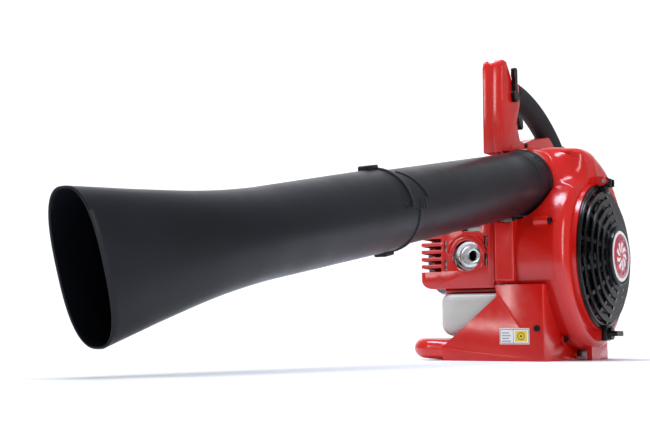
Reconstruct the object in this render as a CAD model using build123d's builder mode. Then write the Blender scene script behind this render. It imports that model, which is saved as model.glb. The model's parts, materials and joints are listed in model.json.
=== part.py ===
# Handheld petrol leaf blower, built as separate pieces.
# Millimetres. +Z up, the ground at z = 0, the crankshaft along X, the blower tube towards -Y,
# the air inlet on the +X side and the engine on the -X side.
from build123d import *
from math import sin, cos, radians
import os

os.makedirs("parts", exist_ok=True)

# ---------------------------------------------------------------- driving sizes
axis_z = 119.0            # crankshaft above the ground
wall = 2.5                # moulded shell wall
run_gap = 0.3             # gap between bodies that move past each other
shaft_fit = 0.05          # radial running clearance of a shaft

# blower tube
tube_x = -24.6            # tube axis, sideways
tube_z = 215.3            # tube axis height above the crankshaft's station
tube_drop = 10.67         # degrees that the tube points down
tube_r = 36.0             # outer radius of the tube
tube_wall = 2.4
tube_start = 62.0         # stations along the tube from the crankshaft's plane
tube_end = 462.0
collar_r = tube_r + 2.5
collar_len = 34.0
nozzle_start = 390.0
nozzle_end = 790.0
nozzle_rim_r = tube_r + 3.6
nozzle_waist = 590.0
nozzle_waist_r = tube_r + 0.8
mouth_height = 108.0
mouth_width = 43.0
mouth_slant = 8.0         # degrees that the mouth leans forward at its top
spigot_len = 30.0

# fan and its scroll
scroll_r = 100.0          # first radius of the scroll's outside
scroll_step = 6.0         # growth of the radius each quarter turn
case_in = -16.0           # engine-side edge of the case
case_out = 42.0           # inlet-side face of the case
case_split = 14.0         # plane where the two halves meet
shoulder_r = 16.0         # rounded edge round the inlet side
fan_bay_in = 5.5          # inlet-side face of the dividing wall
fan_r = 80.0
fan_in = 8.0
fan_blade_len = 27.0
blade_count = 14
inlet_r = 62.0
flywheel_r = 48.0
flywheel_len = 18.0

# inlet grille
grille_r = 81.3
grille_back = 45.8
grille_profile = [(79.0, 51.0), (71.0, 56.0), (62.0, 60.0), (53.0, 63.0), (44.0, 65.5), (35.0, 68.0)]
badge_r = 29.5
badge_x = 70.7
hinge_x = 56.0
hinge_z = 206.0
hinge_pin_r = 2.5

# engine
cyl_x = -80.0             # cylinder axis, sideways
bore_r = 17.0
stroke = 28.0
rod_len = 52.0
crankcase_r = 31.0
crankcase_half = 24.0     # width of one crankcase half
main_r = 7.5              # main journal radius
bearing_r = 16.0
bearing_w = 9.0
cyl_base_z = 157.0
fin_count = 7
fin_pitch = 6.6
fin_t = 2.2

# engine cover
cover_left = -139.6
cover_right = -39.3
cover_front = -100.0
cover_back = 55.0
cover_bottom = 82.0
cover_top = 222.0
cover_corner = 18.0       # rounding of the cover's lower left edge
muffler_hole_r = 17.4
muffler_hole_x = -77.4

# stand and tank
stand_front = -110.0
stand_back = 96.0
stand_right = 18.5
skid_r = 11.5
skid_x = -142.0
tank_wall = 2.5

skid_lift = 3.0           # how far the skid's far side is raised

# starter
starter_left = -160.0
starter_len = 33.0
starter_r = 40.0
pulley_r = 24.0
rope_x = -148.0
rope_y = pulley_r + 2.0
grip_low = 165.0

# small controls
slot_pitch = 8.5
slot_count = 5
side_slot_depth = 38.0    # how far back the corner slots run on the cover's left side
choke_x = -116.0
choke_z = 146.0
carb_left = -98.0
primer_y = 76.0
primer_z = 166.0
primer_r = 7.5
trigger_y = -42.0
trigger_z = 304.0
lever_y = -53.0
lever_z = 308.0
switch_y = -70.0
switch_z = 316.0

# handle
handle_x = -50.0
handle_half = 13.0
column_front = -83.5
grip_r = 13.5
grip_core_r = 10.0


# ---------------------------------------------------------------- planes
def shaft_plane(x):
    """Across the crankshaft at x: the sketch runs along +Y and +Z from the shaft's centre."""
    return Plane(origin=(x, 0, axis_z), x_dir=(0, 1, 0), z_dir=(1, 0, 0))


def tube_point(s, up=0.0):
    t = radians(tube_drop)
    return (tube_x, -s * cos(t) - up * sin(t), tube_z - s * sin(t) + up * cos(t))


def tube_plane(s, lean=0.0):
    """Across the tube at station s: the sketch runs along +X and up."""
    t = radians(tube_drop + lean)
    return Plane(origin=tube_point(s), x_dir=(1, 0, 0), z_dir=(0, -cos(t), -sin(t)))


def side_plane(x):
    """Across X at x, measured from the ground: the sketch runs along +Y and +Z."""
    return Plane(origin=(x, 0, 0), x_dir=(0, 1, 0), z_dir=(1, 0, 0))


def front_plane(y):
    """Facing forward at y: the sketch runs along +X and +Z, and extrudes towards -Y."""
    return Plane(origin=(0, y, 0), x_dir=(1, 0, 0), z_dir=(0, -1, 0))


def polar(r, angle):
    return (r * cos(radians(angle)), r * sin(radians(angle)))


def save(piece, name):
    piece.part.label = name
    export_step(piece.part, "parts/" + name + ".step")


def tube_cut(radius):
    """The room that the blower tube takes, as a loose cylinder."""
    plane = tube_plane(tube_start - 0.2)
    return plane * Pos(0, 0, 120) * Cylinder(radius, 240, mode=Mode.PRIVATE)


def flange_cut(radius):
    """The room that the outlet's flange takes."""
    plane = tube_plane(tube_start - 9)
    return plane * Pos(0, 0, 5) * Cylinder(radius, 10, mode=Mode.PRIVATE)


# ---------------------------------------------------------------- blower tube and nozzle
tube_in_r = tube_r - tube_wall
with BuildPart() as blower_tube:
    with BuildSketch(tube_plane(tube_start)):
        Circle(collar_r)
    extrude(amount=collar_len, taper=3.0)
    with BuildSketch(tube_plane(tube_start)):
        Circle(tube_r)
    extrude(amount=tube_end - tube_start)
    with BuildSketch(tube_plane(tube_start + 20)):
        with GridLocations(0, 2 * (collar_r - 1.5), 1, 2):
            Rectangle(10, 5)
    extrude(amount=14)
    with BuildSketch(tube_plane(tube_start)):
        Circle(tube_in_r)
    extrude(amount=tube_end - tube_start, mode=Mode.SUBTRACT)
save(blower_tube, "blower_tube")


def nozzle_body(skin):
    """The nozzle's outside less skin, lofted from the waist's circle to the mouth's oval."""
    flare = nozzle_end - nozzle_waist
    shape = [(0.0, nozzle_waist_r, nozzle_waist_r, 0.0), (0.33, 33.5, 39.0, 0.0),
             (0.66, 27.5, 45.5, mouth_slant / 2), (1.0, mouth_width / 2, mouth_height / 2, mouth_slant)]
    with BuildPart() as piece:
        for share, half_x, half_z, lean in shape:
            with BuildSketch(tube_plane(nozzle_waist + flare * share, lean)):
                Ellipse(half_x - skin, half_z - skin)
        loft()
    return piece.part


nozzle_skin = nozzle_body(0)
nozzle_hole = nozzle_body(2.0)

with BuildPart() as nozzle:
    add(nozzle_skin)
    with BuildSketch(tube_plane(nozzle_start + 8)):
        Circle(tube_r + tube_wall + run_gap)
    with BuildSketch(tube_plane(nozzle_waist)):
        Circle(nozzle_waist_r)
    loft()
    with BuildSketch(tube_plane(nozzle_start)):
        Circle(nozzle_rim_r)
    extrude(amount=8)
    with BuildSketch(tube_plane(nozzle_start + 2)):
        with GridLocations(0, 2 * (tube_r + 2), 1, 2):
            RectangleRounded(16, 10, 3)
    extrude(amount=30)
    add(nozzle_hole, mode=Mode.SUBTRACT)
    with BuildSketch(tube_plane(nozzle_start)):
        Circle(tube_r + run_gap)
    extrude(amount=tube_end + 1 - nozzle_start, mode=Mode.SUBTRACT)
    with BuildSketch(tube_plane(tube_end)):
        Circle(tube_in_r + 1)
    with BuildSketch(tube_plane(nozzle_waist)):
        Circle(nozzle_waist_r - 2.0)
    loft(mode=Mode.SUBTRACT)
save(nozzle, "nozzle")


# ---------------------------------------------------------------- fan case
def scroll_outline(skin):
    """The scroll's outline less skin: four arcs whose radius grows each quarter turn."""
    h = scroll_step / 2
    r0 = scroll_r - skin
    r1 = r0 + scroll_step
    r2 = r1 + scroll_step
    r3 = r2 + scroll_step
    lip = 40.0
    lip_z = (r0 ** 2 - (lip - h) ** 2) ** 0.5 - h
    mid = 0.5 ** 0.5
    with BuildLine() as outline:
        ThreePointArc((-h, h + r3), (-h + r3 * mid, h + r3 * mid), (-h + r3, h))
        ThreePointArc((h + r2, h), (h + r2 * mid, h - r2 * mid), (h, h - r2))
        ThreePointArc((h, -h - r1), (h - r1 * mid, -h - r1 * mid), (h - r1, -h))
        ThreePointArc((-h - r0, -h), (-h - r0 * cos(0.45), -h + r0 * sin(0.45)), (-lip, lip_z))
        Line((-lip, lip_z), (-lip, h + r3))
        Line((-lip, h + r3), (-h, h + r3))
    return outline


duct_y = -8.0
duct_low = 158.0
outlet_r = tube_in_r - 3.6      # bore of the case's outlet
bay_r = flywheel_r + 12         # outside of the flywheel's bay


def duct_body(skin, end_r):
    """From the scroll's mouth to the round outlet, less skin."""
    top = axis_z + scroll_step / 2 + scroll_r + 3 * scroll_step - skin
    low = duct_low + skin
    left = case_in + skin
    right = case_out - skin
    with BuildPart() as piece:
        with BuildSketch(front_plane(duct_y)):
            with Locations(((left + right) / 2, (top + low) / 2)):
                RectangleRounded(right - left, top - low, 14 - skin)
        with BuildSketch(tube_plane(tube_start - 6)):
            Circle(end_r)
        loft()
    return piece.part


duct_skin = duct_body(0, collar_r)
duct_hole = duct_body(wall, outlet_r)
duct_room = duct_body(-1.0, collar_r + 1.0)

with BuildPart() as scroll_air:
    with BuildSketch(shaft_plane(fan_bay_in)):
        add(make_face(scroll_outline(wall).line))
    extrude(amount=case_out - wall - fan_bay_in)
    fillet(scroll_air.faces().sort_by(Axis.X)[-1].edges(), shoulder_r - wall)
    add(tube_cut(tube_r + 4 + wall), mode=Mode.SUBTRACT)

with BuildPart() as back_room:
    with BuildSketch(shaft_plane(case_in - 1)):
        add(make_face(scroll_outline(wall).line))
    extrude(amount=fan_bay_in - wall - case_in + 1)
    add(tube_cut(tube_r + 4 + wall), mode=Mode.SUBTRACT)
    with BuildSketch(shaft_plane(case_in - 2)):
        Circle(bay_r + 0.6)
    extrude(amount=40, mode=Mode.SUBTRACT)
    with BuildSketch(shaft_plane(case_in - 2)):
        for angle in range(15, 375, 60):
            with Locations(Location((75 * cos(radians(angle)), 75 * sin(radians(angle))), angle)):
                Rectangle(110, 3)
    extrude(amount=40, mode=Mode.SUBTRACT)


def scroll_edge(angle, out=0.0):
    """A point on the scroll's outline, degrees from +Y towards +Z, pushed out from it."""
    a = radians(angle)
    h = scroll_step / 2
    turn = angle % 360
    if turn < 90:
        centre, r = (-h, h), scroll_r + 3 * scroll_step
    elif turn < 180:
        centre, r = (-h, -h), scroll_r
    elif turn < 270:
        centre, r = (h, -h), scroll_r + scroll_step
    else:
        centre, r = (h, h), scroll_r + 2 * scroll_step
    return (centre[0] + (r + out) * cos(a), centre[1] + (r + out) * sin(a))


case_screw_angles = [62, 8, -48, -100, 237, 158]
screw_spots = [scroll_edge(a, 3.5) for a in case_screw_angles]

with BuildPart() as fan_shell:
    with BuildSketch(shaft_plane(case_in)):
        add(make_face(scroll_outline(0).line))
    extrude(amount=case_out - case_in)
    fillet(fan_shell.faces().sort_by(Axis.X)[-1].edges(), shoulder_r)
    add(duct_skin)
    with BuildSketch(tube_plane(tube_start - 7)):
        Circle(collar_r)
    extrude(amount=6.7)
    add(tube_cut(tube_r + 4), mode=Mode.SUBTRACT)
    with BuildSketch(shaft_plane(case_in - 8)):
        Circle(bay_r)
    extrude(amount=12)
    with BuildSketch(tube_plane(tube_start - 4)):
        Circle(tube_in_r - run_gap)
    extrude(amount=spigot_len + 4)
    with BuildSketch(shaft_plane(case_split - 8)):
        with Locations(*screw_spots):
            Circle(5.5)
    extrude(amount=16)
    add(scroll_air.part, mode=Mode.SUBTRACT)
    add(back_room.part, mode=Mode.SUBTRACT)
    add(duct_hole, mode=Mode.SUBTRACT)
    with BuildSketch(tube_plane(tube_start - 7)):
        Circle(outlet_r)
    extrude(amount=spigot_len + 8, mode=Mode.SUBTRACT)
    with BuildSketch(shaft_plane(case_in - 5.5)):
        Circle(flywheel_r + 6)
    extrude(amount=30, mode=Mode.SUBTRACT)
    with BuildSketch(shaft_plane(case_in - 9)):
        Circle(20)
        with PolarLocations(26, 4, 45):
            Circle(2.7)
    extrude(amount=12, mode=Mode.SUBTRACT)
    with BuildSketch(shaft_plane(case_out - wall - 1)):
        Circle(inlet_r)
    extrude(amount=20, mode=Mode.SUBTRACT)
    with BuildSketch(shaft_plane(case_split - 10)):
        with Locations(*screw_spots):
            Circle(2.1)
    extrude(amount=20, mode=Mode.SUBTRACT)
    with BuildSketch(shaft_plane(case_split + 8)):
        with Locations(*screw_spots):
            Circle(3.9)
    extrude(amount=12, mode=Mode.SUBTRACT)
    with BuildSketch(side_plane(case_in - 9)):
        with Locations((60, axis_z)):
            Rectangle(24, 34)
    extrude(amount=8.7, mode=Mode.SUBTRACT)

with BuildPart() as fan_case_outer:
    add(fan_shell.part)
    split(bisect_by=side_plane(case_split), keep=Keep.TOP)
    with BuildSketch(shaft_plane(case_out - 2)):
        Circle(grille_r + 5)
        Circle(grille_r - 3, mode=Mode.SUBTRACT)
    extrude(amount=grille_back - run_gap - case_out + 2)
    with BuildSketch(shaft_plane(case_out - 2)):
        Circle(grille_r + 5)
        Circle(grille_r + 2.2, mode=Mode.SUBTRACT)
    extrude(amount=7.3)
    for ear_y in (12, -8):
        with BuildSketch(front_plane(ear_y)):
            with BuildLine():
                Polyline((case_out - 4, hinge_z - 7), (hinge_x - 2, hinge_z - 5), (hinge_x + 5, hinge_z),
                         (hinge_x, hinge_z + 5), (case_out - 4, hinge_z + 7), close=True)
            make_face()
        extrude(amount=4)
    with BuildSketch(front_plane(20)):
        with Locations((hinge_x, hinge_z)):
            Circle(hinge_pin_r)
    extrude(amount=40, mode=Mode.SUBTRACT)
    with BuildSketch(side_plane(case_out - 10)):
        with Locations((0, axis_z - grille_r - 8)):
            Rectangle(20, 15)
    extrude(amount=15.2)
    with BuildSketch(side_plane(case_out - 2)):
        with Locations((0, axis_z - grille_r - 7)):
            Circle(4.2)
    extrude(amount=20, mode=Mode.SUBTRACT)
    with BuildSketch(side_plane(case_out - 10)):
        with Locations((0, 8)):
            Rectangle(30, 16)
    extrude(amount=6)
save(fan_case_outer, "fan_case_outer")

with BuildPart() as fan_case_inner:
    add(fan_shell.part)
    split(bisect_by=side_plane(case_split), keep=Keep.BOTTOM)
save(fan_case_inner, "fan_case_inner")

with BuildPart() as case_screws:
    with BuildSketch(shaft_plane(case_split - 8)):
        with Locations(*screw_spots):
            Circle(2.0)
    extrude(amount=16)
    with BuildSketch(shaft_plane(case_split + 8)):
        with Locations(*screw_spots):
            Circle(3.8)
    extrude(amount=3)
    with BuildSketch(shaft_plane(case_split + 9)):
        with Locations(*screw_spots):
            RegularPolygon(1.9, 6)
    extrude(amount=3, mode=Mode.SUBTRACT)
save(case_screws, "case_screws")

# ---------------------------------------------------------------- inlet grille
grille_t = 5.0
rib_count = 20

def grille_rib(angle):
    """One radial rib that follows the dome, turned about the crankshaft."""
    top = [(x + 1.6, r) for r, x in grille_profile]
    low = [(x - 2.2, r) for r, x in reversed(grille_profile)]
    a = radians(angle)
    plane = Plane(origin=(0, 0, axis_z), x_dir=(1, 0, 0), z_dir=(0, -cos(a), -sin(a)))
    with BuildPart() as piece:
        with BuildSketch(plane):
            with BuildLine():
                Polyline((grille_back, grille_r - 2), (grille_back + grille_t, grille_r - 2), *top,
                         (badge_x - 1, badge_r), (badge_x - 5, badge_r), *low, close=True)
            make_face()
        extrude(amount=1.0, both=True)
    return piece.part


all_ribs = [grille_rib(360 / rib_count * k) for k in range(rib_count)]
with BuildPart() as inlet_grille:
    with BuildSketch(shaft_plane(grille_back)):
        Circle(grille_r)
        Circle(grille_r - 4, mode=Mode.SUBTRACT)
    extrude(amount=grille_t)
    for ring_r, ring_x in grille_profile:
        with BuildSketch(shaft_plane(ring_x - 3)):
            Circle(ring_r + 1.2)
            Circle(ring_r - 1.4, mode=Mode.SUBTRACT)
        extrude(amount=6)
    with BuildSketch(shaft_plane(badge_x - 6)):
        Circle(badge_r + 3)
    extrude(amount=6)
    add(all_ribs)
    with BuildSketch(shaft_plane(badge_x - 1.6)):
        Circle(badge_r + 0.1)
    extrude(amount=10, mode=Mode.SUBTRACT)
    with BuildSketch(front_plane(8 - run_gap)):
        with Locations((hinge_x, hinge_z)):
            Circle(5)
        with Locations((hinge_x - 1, hinge_z - 6)):
            Rectangle(8, 12)
        with Locations((hinge_x - 4, hinge_z - 9)):
            Rectangle(11, 8)
    extrude(amount=16 - 2 * run_gap)
    with BuildSketch(front_plane(8)):
        with Locations((hinge_x, hinge_z)):
            Circle(hinge_pin_r + shaft_fit)
    extrude(amount=16, mode=Mode.SUBTRACT)
    with BuildSketch(side_plane(grille_back + 2)):
        with Locations((0, axis_z - grille_r - 5)):
            Rectangle(16, 18)
    extrude(amount=6)
    with BuildSketch(side_plane(grille_back - 1)):
        with Locations((0, axis_z - grille_r - 7)):
            Circle(3 + shaft_fit)
    extrude(amount=20, mode=Mode.SUBTRACT)
save(inlet_grille, "inlet_grille")

with BuildPart() as grille_hinge_pin:
    with BuildSketch(front_plane(13)):
        with Locations((hinge_x, hinge_z)):
            Circle(hinge_pin_r)
    extrude(amount=26)
    with BuildSketch(front_plane(14.5)):
        with Locations((hinge_x, hinge_z)):
            Circle(hinge_pin_r + 1.2)
    extrude(amount=2.3)
save(grille_hinge_pin, "grille_hinge_pin")

latch_z = axis_z - grille_r - 7
with BuildPart() as grille_latch:
    with BuildSketch(side_plane(case_out - 1)):
        with Locations((0, latch_z)):
            Circle(3)
    extrude(amount=24)
    with BuildSketch(side_plane(grille_back + 8 + run_gap)):
        with Locations((0, latch_z)):
            Circle(7)
    extrude(amount=4)
    with BuildSketch(side_plane(grille_back + 12)):
        with Locations((0, latch_z)):
            RectangleRounded(22, 6, 2.5)
    extrude(amount=9)
save(grille_latch, "grille_latch")

with BuildPart() as badge:
    with BuildSketch(shaft_plane(badge_x - 1.5)):
        Circle(badge_r)
    extrude(amount=1.5)
    chamfer(badge.faces().sort_by(Axis.X)[-1].edges(), 0.5)
save(badge, "badge")

# ---------------------------------------------------------------- fan, flywheel, crankshaft
shaft_r = main_r
with BuildPart() as impeller:
    with BuildSketch(shaft_plane(fan_in)):
        Circle(fan_r)
    extrude(amount=2.2)
    with BuildSketch(shaft_plane(fan_in - 3)):
        Circle(14)
    extrude(amount=24)
    with BuildSketch(shaft_plane(fan_in + 1)):
        for k in range(blade_count):
            start = 360 / blade_count * k
            front = [polar(32, start), polar(56, start + 7), polar(fan_r - 1, start + 20)]
            back = [polar(fan_r - 1, start + 21.5), polar(56, start + 9), polar(32, start + 3.5)]
            with BuildLine():
                ThreePointArc(*front)
                Line(front[2], back[0])
                ThreePointArc(*back)
                Line(back[2], front[0])
            make_face()
    extrude(amount=fan_blade_len)
    with BuildSketch(shaft_plane(fan_in - 4)):
        Circle(shaft_r)
    extrude(amount=40, mode=Mode.SUBTRACT)
save(impeller, "impeller")

shaft_right = fan_in + 26
shaft_left = -131.0
web_r = 20.0
web_in = 4.5              # half gap between the webs
web_t = 5.0
with BuildPart() as crankshaft:
    with BuildSketch(shaft_plane(cyl_x + web_in + web_t)):
        Circle(shaft_r)
    extrude(amount=shaft_right - cyl_x - web_in - web_t)
    with BuildSketch(shaft_plane(shaft_left)):
        Circle(shaft_r)
    extrude(amount=cyl_x - web_in - web_t - shaft_left)
    with BuildSketch(shaft_plane(cyl_x + web_in)):
        Circle(web_r)
    extrude(amount=web_t)
    with BuildSketch(shaft_plane(cyl_x - web_in - web_t)):
        Circle(web_r)
    extrude(amount=web_t)
    with BuildSketch(shaft_plane(cyl_x - web_in)):
        with Locations((0, stroke / 2)):
            Circle(5)
    extrude(amount=2 * web_in)
save(crankshaft, "crankshaft")

fly_in = -19.5
with BuildPart() as flywheel:
    with BuildSketch(shaft_plane(fly_in)):
        Circle(flywheel_r)
        Circle(shaft_r, mode=Mode.SUBTRACT)
    extrude(amount=10)
    with BuildSketch(shaft_plane(fly_in + 9)):
        with PolarLocations(38, 16):
            Rectangle(14, 2)
        Circle(15)
        Circle(shaft_r, mode=Mode.SUBTRACT)
    extrude(amount=flywheel_len - 5)
save(flywheel, "flywheel")

with BuildPart() as impeller_nut:
    with BuildSketch(shaft_plane(fan_in + 21)):
        RegularPolygon(11, 6)
        Circle(shaft_r, mode=Mode.SUBTRACT)
    extrude(amount=7)
save(impeller_nut, "impeller_nut")

# ---------------------------------------------------------------- engine
case_cavity_r = web_r + 2.5


def crankcase(side):
    """One crankcase half. side is 1 towards the fan and -1 towards the starter."""
    length = crankcase_half
    outer_x = cyl_x if side > 0 else cyl_x - length
    room_x = cyl_x if side > 0 else cyl_x - web_in - web_t - 1
    with BuildPart() as piece:
        with BuildSketch(shaft_plane(outer_x)):
            Circle(crankcase_r)
            with Locations((0, 19)):
                Rectangle(54, cyl_base_z - axis_z - 0.0)
            with Locations((0, -22)):
                Rectangle(40, 22)
        extrude(amount=length)
        with BuildSketch(shaft_plane(room_x)):
            Circle(case_cavity_r)
        extrude(amount=web_in + web_t + 1, mode=Mode.SUBTRACT)
        with BuildSketch(Plane.XY.offset(axis_z)):
            with Locations((cyl_x, 0)):
                Circle(bore_r + 0.5)
        extrude(amount=80, mode=Mode.SUBTRACT)
        nose_x = cyl_x + length if side > 0 else cyl_x - length - 6
        nose_len = case_in - 5.5 - cyl_x - length - 3.0 if side > 0 else 6
        with BuildSketch(shaft_plane(nose_x)):
            Circle(19.5)
        extrude(amount=nose_len)
        seat = cyl_x + side * (length - bearing_w / 2 - 1)
        with BuildSketch(shaft_plane(seat - bearing_w / 2)):
            Circle(bearing_r)
        extrude(amount=bearing_w, mode=Mode.SUBTRACT)
        with BuildSketch(shaft_plane(cyl_x - 70)):
            Circle(shaft_r + 2)
        extrude(amount=140, mode=Mode.SUBTRACT)
    return piece


crankcase_fan = crankcase(1)
save(crankcase_fan, "crankcase_fan_side")
crankcase_starter = crankcase(-1)
save(crankcase_starter, "crankcase_starter_side")

with BuildPart() as main_bearings:
    for side in (-1, 1):
        seat = cyl_x + side * (crankcase_half - bearing_w / 2 - 1)
        with BuildSketch(shaft_plane(seat - bearing_w / 2)):
            Circle(bearing_r)
            Circle(bearing_r - 2.5, mode=Mode.SUBTRACT)
        extrude(amount=bearing_w)
        with BuildSketch(shaft_plane(seat - bearing_w / 2)):
            Circle(shaft_r + 2.5)
            Circle(shaft_r + shaft_fit, mode=Mode.SUBTRACT)
        extrude(amount=bearing_w)
        with BuildSketch(shaft_plane(seat - bearing_w / 2 + 2)):
            Circle(bearing_r - 2.5)
            Circle(shaft_r + 2.5, mode=Mode.SUBTRACT)
        extrude(amount=bearing_w - 4)
save(main_bearings, "main_bearings")

fin_x = 66.0
fin_y = 76.0
fin_z0 = 164.0
head_z = fin_z0 + fin_count * fin_pitch
with BuildPart() as cylinder:
    with BuildSketch(Plane.XY.offset(cyl_base_z)):
        with Locations((cyl_x, 0)):
            RectangleRounded(48, 52, 5)
    extrude(amount=5)
    with BuildSketch(Plane.XY.offset(cyl_base_z)):
        with Locations((cyl_x, 0)):
            Circle(bore_r + 4)
    extrude(amount=head_z - cyl_base_z)
    for k in range(fin_count):
        with BuildSketch(Plane.XY.offset(fin_z0 + fin_pitch * k)):
            with Locations((cyl_x, 0)):
                RectangleRounded(fin_x, fin_y, 8)
        extrude(amount=fin_t)
    with BuildSketch(front_plane(44)):
        with Locations((cyl_x, 176)):
            RectangleRounded(26, 20, 4)
    extrude(amount=88)
    with BuildSketch(Plane.XY.offset(cyl_base_z - 1)):
        with Locations((cyl_x, 0)):
            Circle(bore_r + shaft_fit)
    extrude(amount=42, mode=Mode.SUBTRACT)
    with BuildSketch(front_plane(45)):
        with Locations((cyl_x, 176)):
            Circle(6)
    extrude(amount=90, mode=Mode.SUBTRACT)
    with BuildSketch(Plane.XY.offset(cyl_base_z + 30)):
        with Locations((cyl_x, 0)):
            Circle(5)
    extrude(amount=60, mode=Mode.SUBTRACT)
save(cylinder, "cylinder")

piston_z = axis_z + stroke / 2 + rod_len
with BuildPart() as piston:
    with BuildSketch(Plane.XY.offset(piston_z - 12)):
        with Locations((cyl_x, 0)):
            Circle(bore_r - 0.3)
    extrude(amount=23)
    with BuildSketch(Plane.XY.offset(piston_z - 13)):
        with Locations((cyl_x, 0)):
            Circle(bore_r - 3.5)
    extrude(amount=20, mode=Mode.SUBTRACT)
    for groove in (4.0, 7.5):
        with BuildSketch(Plane.XY.offset(piston_z + groove)):
            with Locations((cyl_x, 0)):
                Circle(bore_r)
                Circle(bore_r - 2, mode=Mode.SUBTRACT)
        extrude(amount=1.5, mode=Mode.SUBTRACT)
    with BuildSketch(side_plane(cyl_x - 30)):
        with Locations((0, piston_z)):
            Circle(4)
    extrude(amount=60, mode=Mode.SUBTRACT)
save(piston, "piston")

with BuildPart() as piston_rings:
    for groove in (4.0, 7.5):
        with BuildSketch(Plane.XY.offset(piston_z + groove + 0.1)):
            with Locations((cyl_x, 0)):
                Circle(bore_r - 0.02)
                Circle(bore_r - 1.8, mode=Mode.SUBTRACT)
        extrude(amount=1.3)
save(piston_rings, "piston_rings")

with BuildPart() as piston_pin:
    with BuildSketch(side_plane(cyl_x - 15.5)):
        with Locations((0, piston_z)):
            Circle(4)
            Circle(2, mode=Mode.SUBTRACT)
    extrude(amount=31)
save(piston_pin, "piston_pin")

with BuildPart() as connecting_rod:
    with BuildSketch(side_plane(cyl_x - 4)):
        with Locations((0, piston_z)):
            Circle(7)
        with Locations((0, (piston_z + axis_z + 20) / 2)):
            Rectangle(8, piston_z - axis_z - 20)
        with Locations((0, axis_z + 21)):
            Rectangle(20, 8)
        with Locations((0, piston_z)):
            Circle(4, mode=Mode.SUBTRACT)
        with Locations((0, axis_z)):
            Circle(stroke / 2 + 5 + run_gap, mode=Mode.SUBTRACT)
    extrude(amount=8)
save(connecting_rod, "connecting_rod")

plug_z = head_z
with BuildPart() as spark_plug:
    with BuildSketch(Plane.XY.offset(cyl_base_z + 44)):
        with Locations((cyl_x, 0)):
            Circle(5)
    extrude(amount=plug_z - cyl_base_z - 44 + 2)
    with BuildSketch(Plane.XY.offset(plug_z)):
        with Locations((cyl_x, 0)):
            RegularPolygon(8.5, 6)
    extrude(amount=7)
    with BuildSketch(Plane.XY.offset(plug_z + 7)):
        with Locations((cyl_x, 0)):
            Circle(4.5)
    extrude(amount=14)
save(spark_plug, "spark_plug")

with BuildPart() as plug_boot:
    with BuildSketch(Plane.XY.offset(plug_z + 9)):
        with Locations((cyl_x, 0)):
            Circle(7)
    extrude(amount=16)
    with BuildSketch(side_plane(cyl_x)):
        with Locations((14, plug_z + 19)):
            Rectangle(28, 9)
    extrude(amount=4.5, both=True)
    fillet(plug_boot.edges().filter_by(Axis.Y), 3)
    with BuildSketch(Plane.XY.offset(plug_z + 8)):
        with Locations((cyl_x, 0)):
            Circle(4.5)
    extrude(amount=13, mode=Mode.SUBTRACT)
save(plug_boot, "plug_boot")

with BuildPart() as exhaust_gasket:
    with BuildSketch(front_plane(-44)):
        with Locations((cyl_x, 176)):
            RectangleRounded(28, 22, 4)
            Circle(6, mode=Mode.SUBTRACT)
    extrude(amount=1.5)
save(exhaust_gasket, "exhaust_gasket")

muffler_front = -92.0
muffler_back = -45.5
muffler_low = 97.0
with BuildPart() as muffler:
    with BuildSketch(front_plane(muffler_back - 0.0)):
        with Locations((-82, (muffler_low + 188) / 2)):
            Rectangle(56, 188 - muffler_low)
    extrude(amount=muffler_back - muffler_front)
    fillet(muffler.edges().filter_by(Axis.Y), 9)
    fillet(muffler.faces().sort_by(Axis.Y)[0].edges(), 5)
    with BuildSketch(front_plane((muffler_back + muffler_front) / 2 + 1.2)):
        with Locations((-82, (muffler_low + 188) / 2)):
            RectangleRounded(60, 192 - muffler_low, 10)
    extrude(amount=2.4)
    with BuildSketch(front_plane(-56)):
        with Locations((-82, 131)):
            Rectangle(48, 56)
    extrude(amount=30, mode=Mode.SUBTRACT)
    add(tube_cut(tube_r + 6), mode=Mode.SUBTRACT)
    add(flange_cut(collar_r + 1), mode=Mode.SUBTRACT)
    add(duct_room, mode=Mode.SUBTRACT)
    with BuildSketch(front_plane(-50)):
        with Locations((-71, axis_z)):
            Circle(8)
    extrude(amount=60, mode=Mode.SUBTRACT)
save(muffler, "muffler")

with BuildPart() as muffler_outlet:
    with BuildSketch(front_plane(-70)):
        with Locations((-71, axis_z)):
            Circle(7.9)
            Circle(5.6, mode=Mode.SUBTRACT)
    extrude(amount=26)
    with BuildSketch(front_plane(muffler_front)):
        with Locations((-71, axis_z)):
            Circle(11)
            Circle(7.8, mode=Mode.SUBTRACT)
    extrude(amount=2)
save(muffler_outlet, "muffler_outlet")

with BuildPart() as insulator:
    with BuildSketch(front_plane(56)):
        with Locations((cyl_x, 176)):
            RectangleRounded(34, 30, 4)
            Circle(6, mode=Mode.SUBTRACT)
    extrude(amount=12)
save(insulator, "intake_insulator")

carb_back = 88.0
carb_z = 176.0
with BuildPart() as carburettor:
    with BuildSketch(front_plane(carb_back)):
        with Locations((cyl_x, carb_z)):
            RectangleRounded(36, 38, 3)
    extrude(amount=carb_back - 56)
    with BuildSketch(Plane.XY.offset(carb_z - 25)):
        with Locations((cyl_x, 72)):
            RectangleRounded(28, 26, 3)
    extrude(amount=8)
    with BuildSketch(front_plane(carb_back + 1)):
        with Locations((cyl_x, carb_z)):
            Circle(7)
    extrude(amount=40, mode=Mode.SUBTRACT)
    with BuildSketch(side_plane(cyl_x - 11)):
        with Locations((68, carb_z)):
            Circle(2.5 + shaft_fit)
    extrude(amount=40, mode=Mode.SUBTRACT)
    with BuildSketch(side_plane(carb_left - 1)):
        with Locations((primer_y, primer_z)):
            Circle(primer_r + run_gap)
    extrude(amount=6, mode=Mode.SUBTRACT)
save(carburettor, "carburettor")

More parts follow.
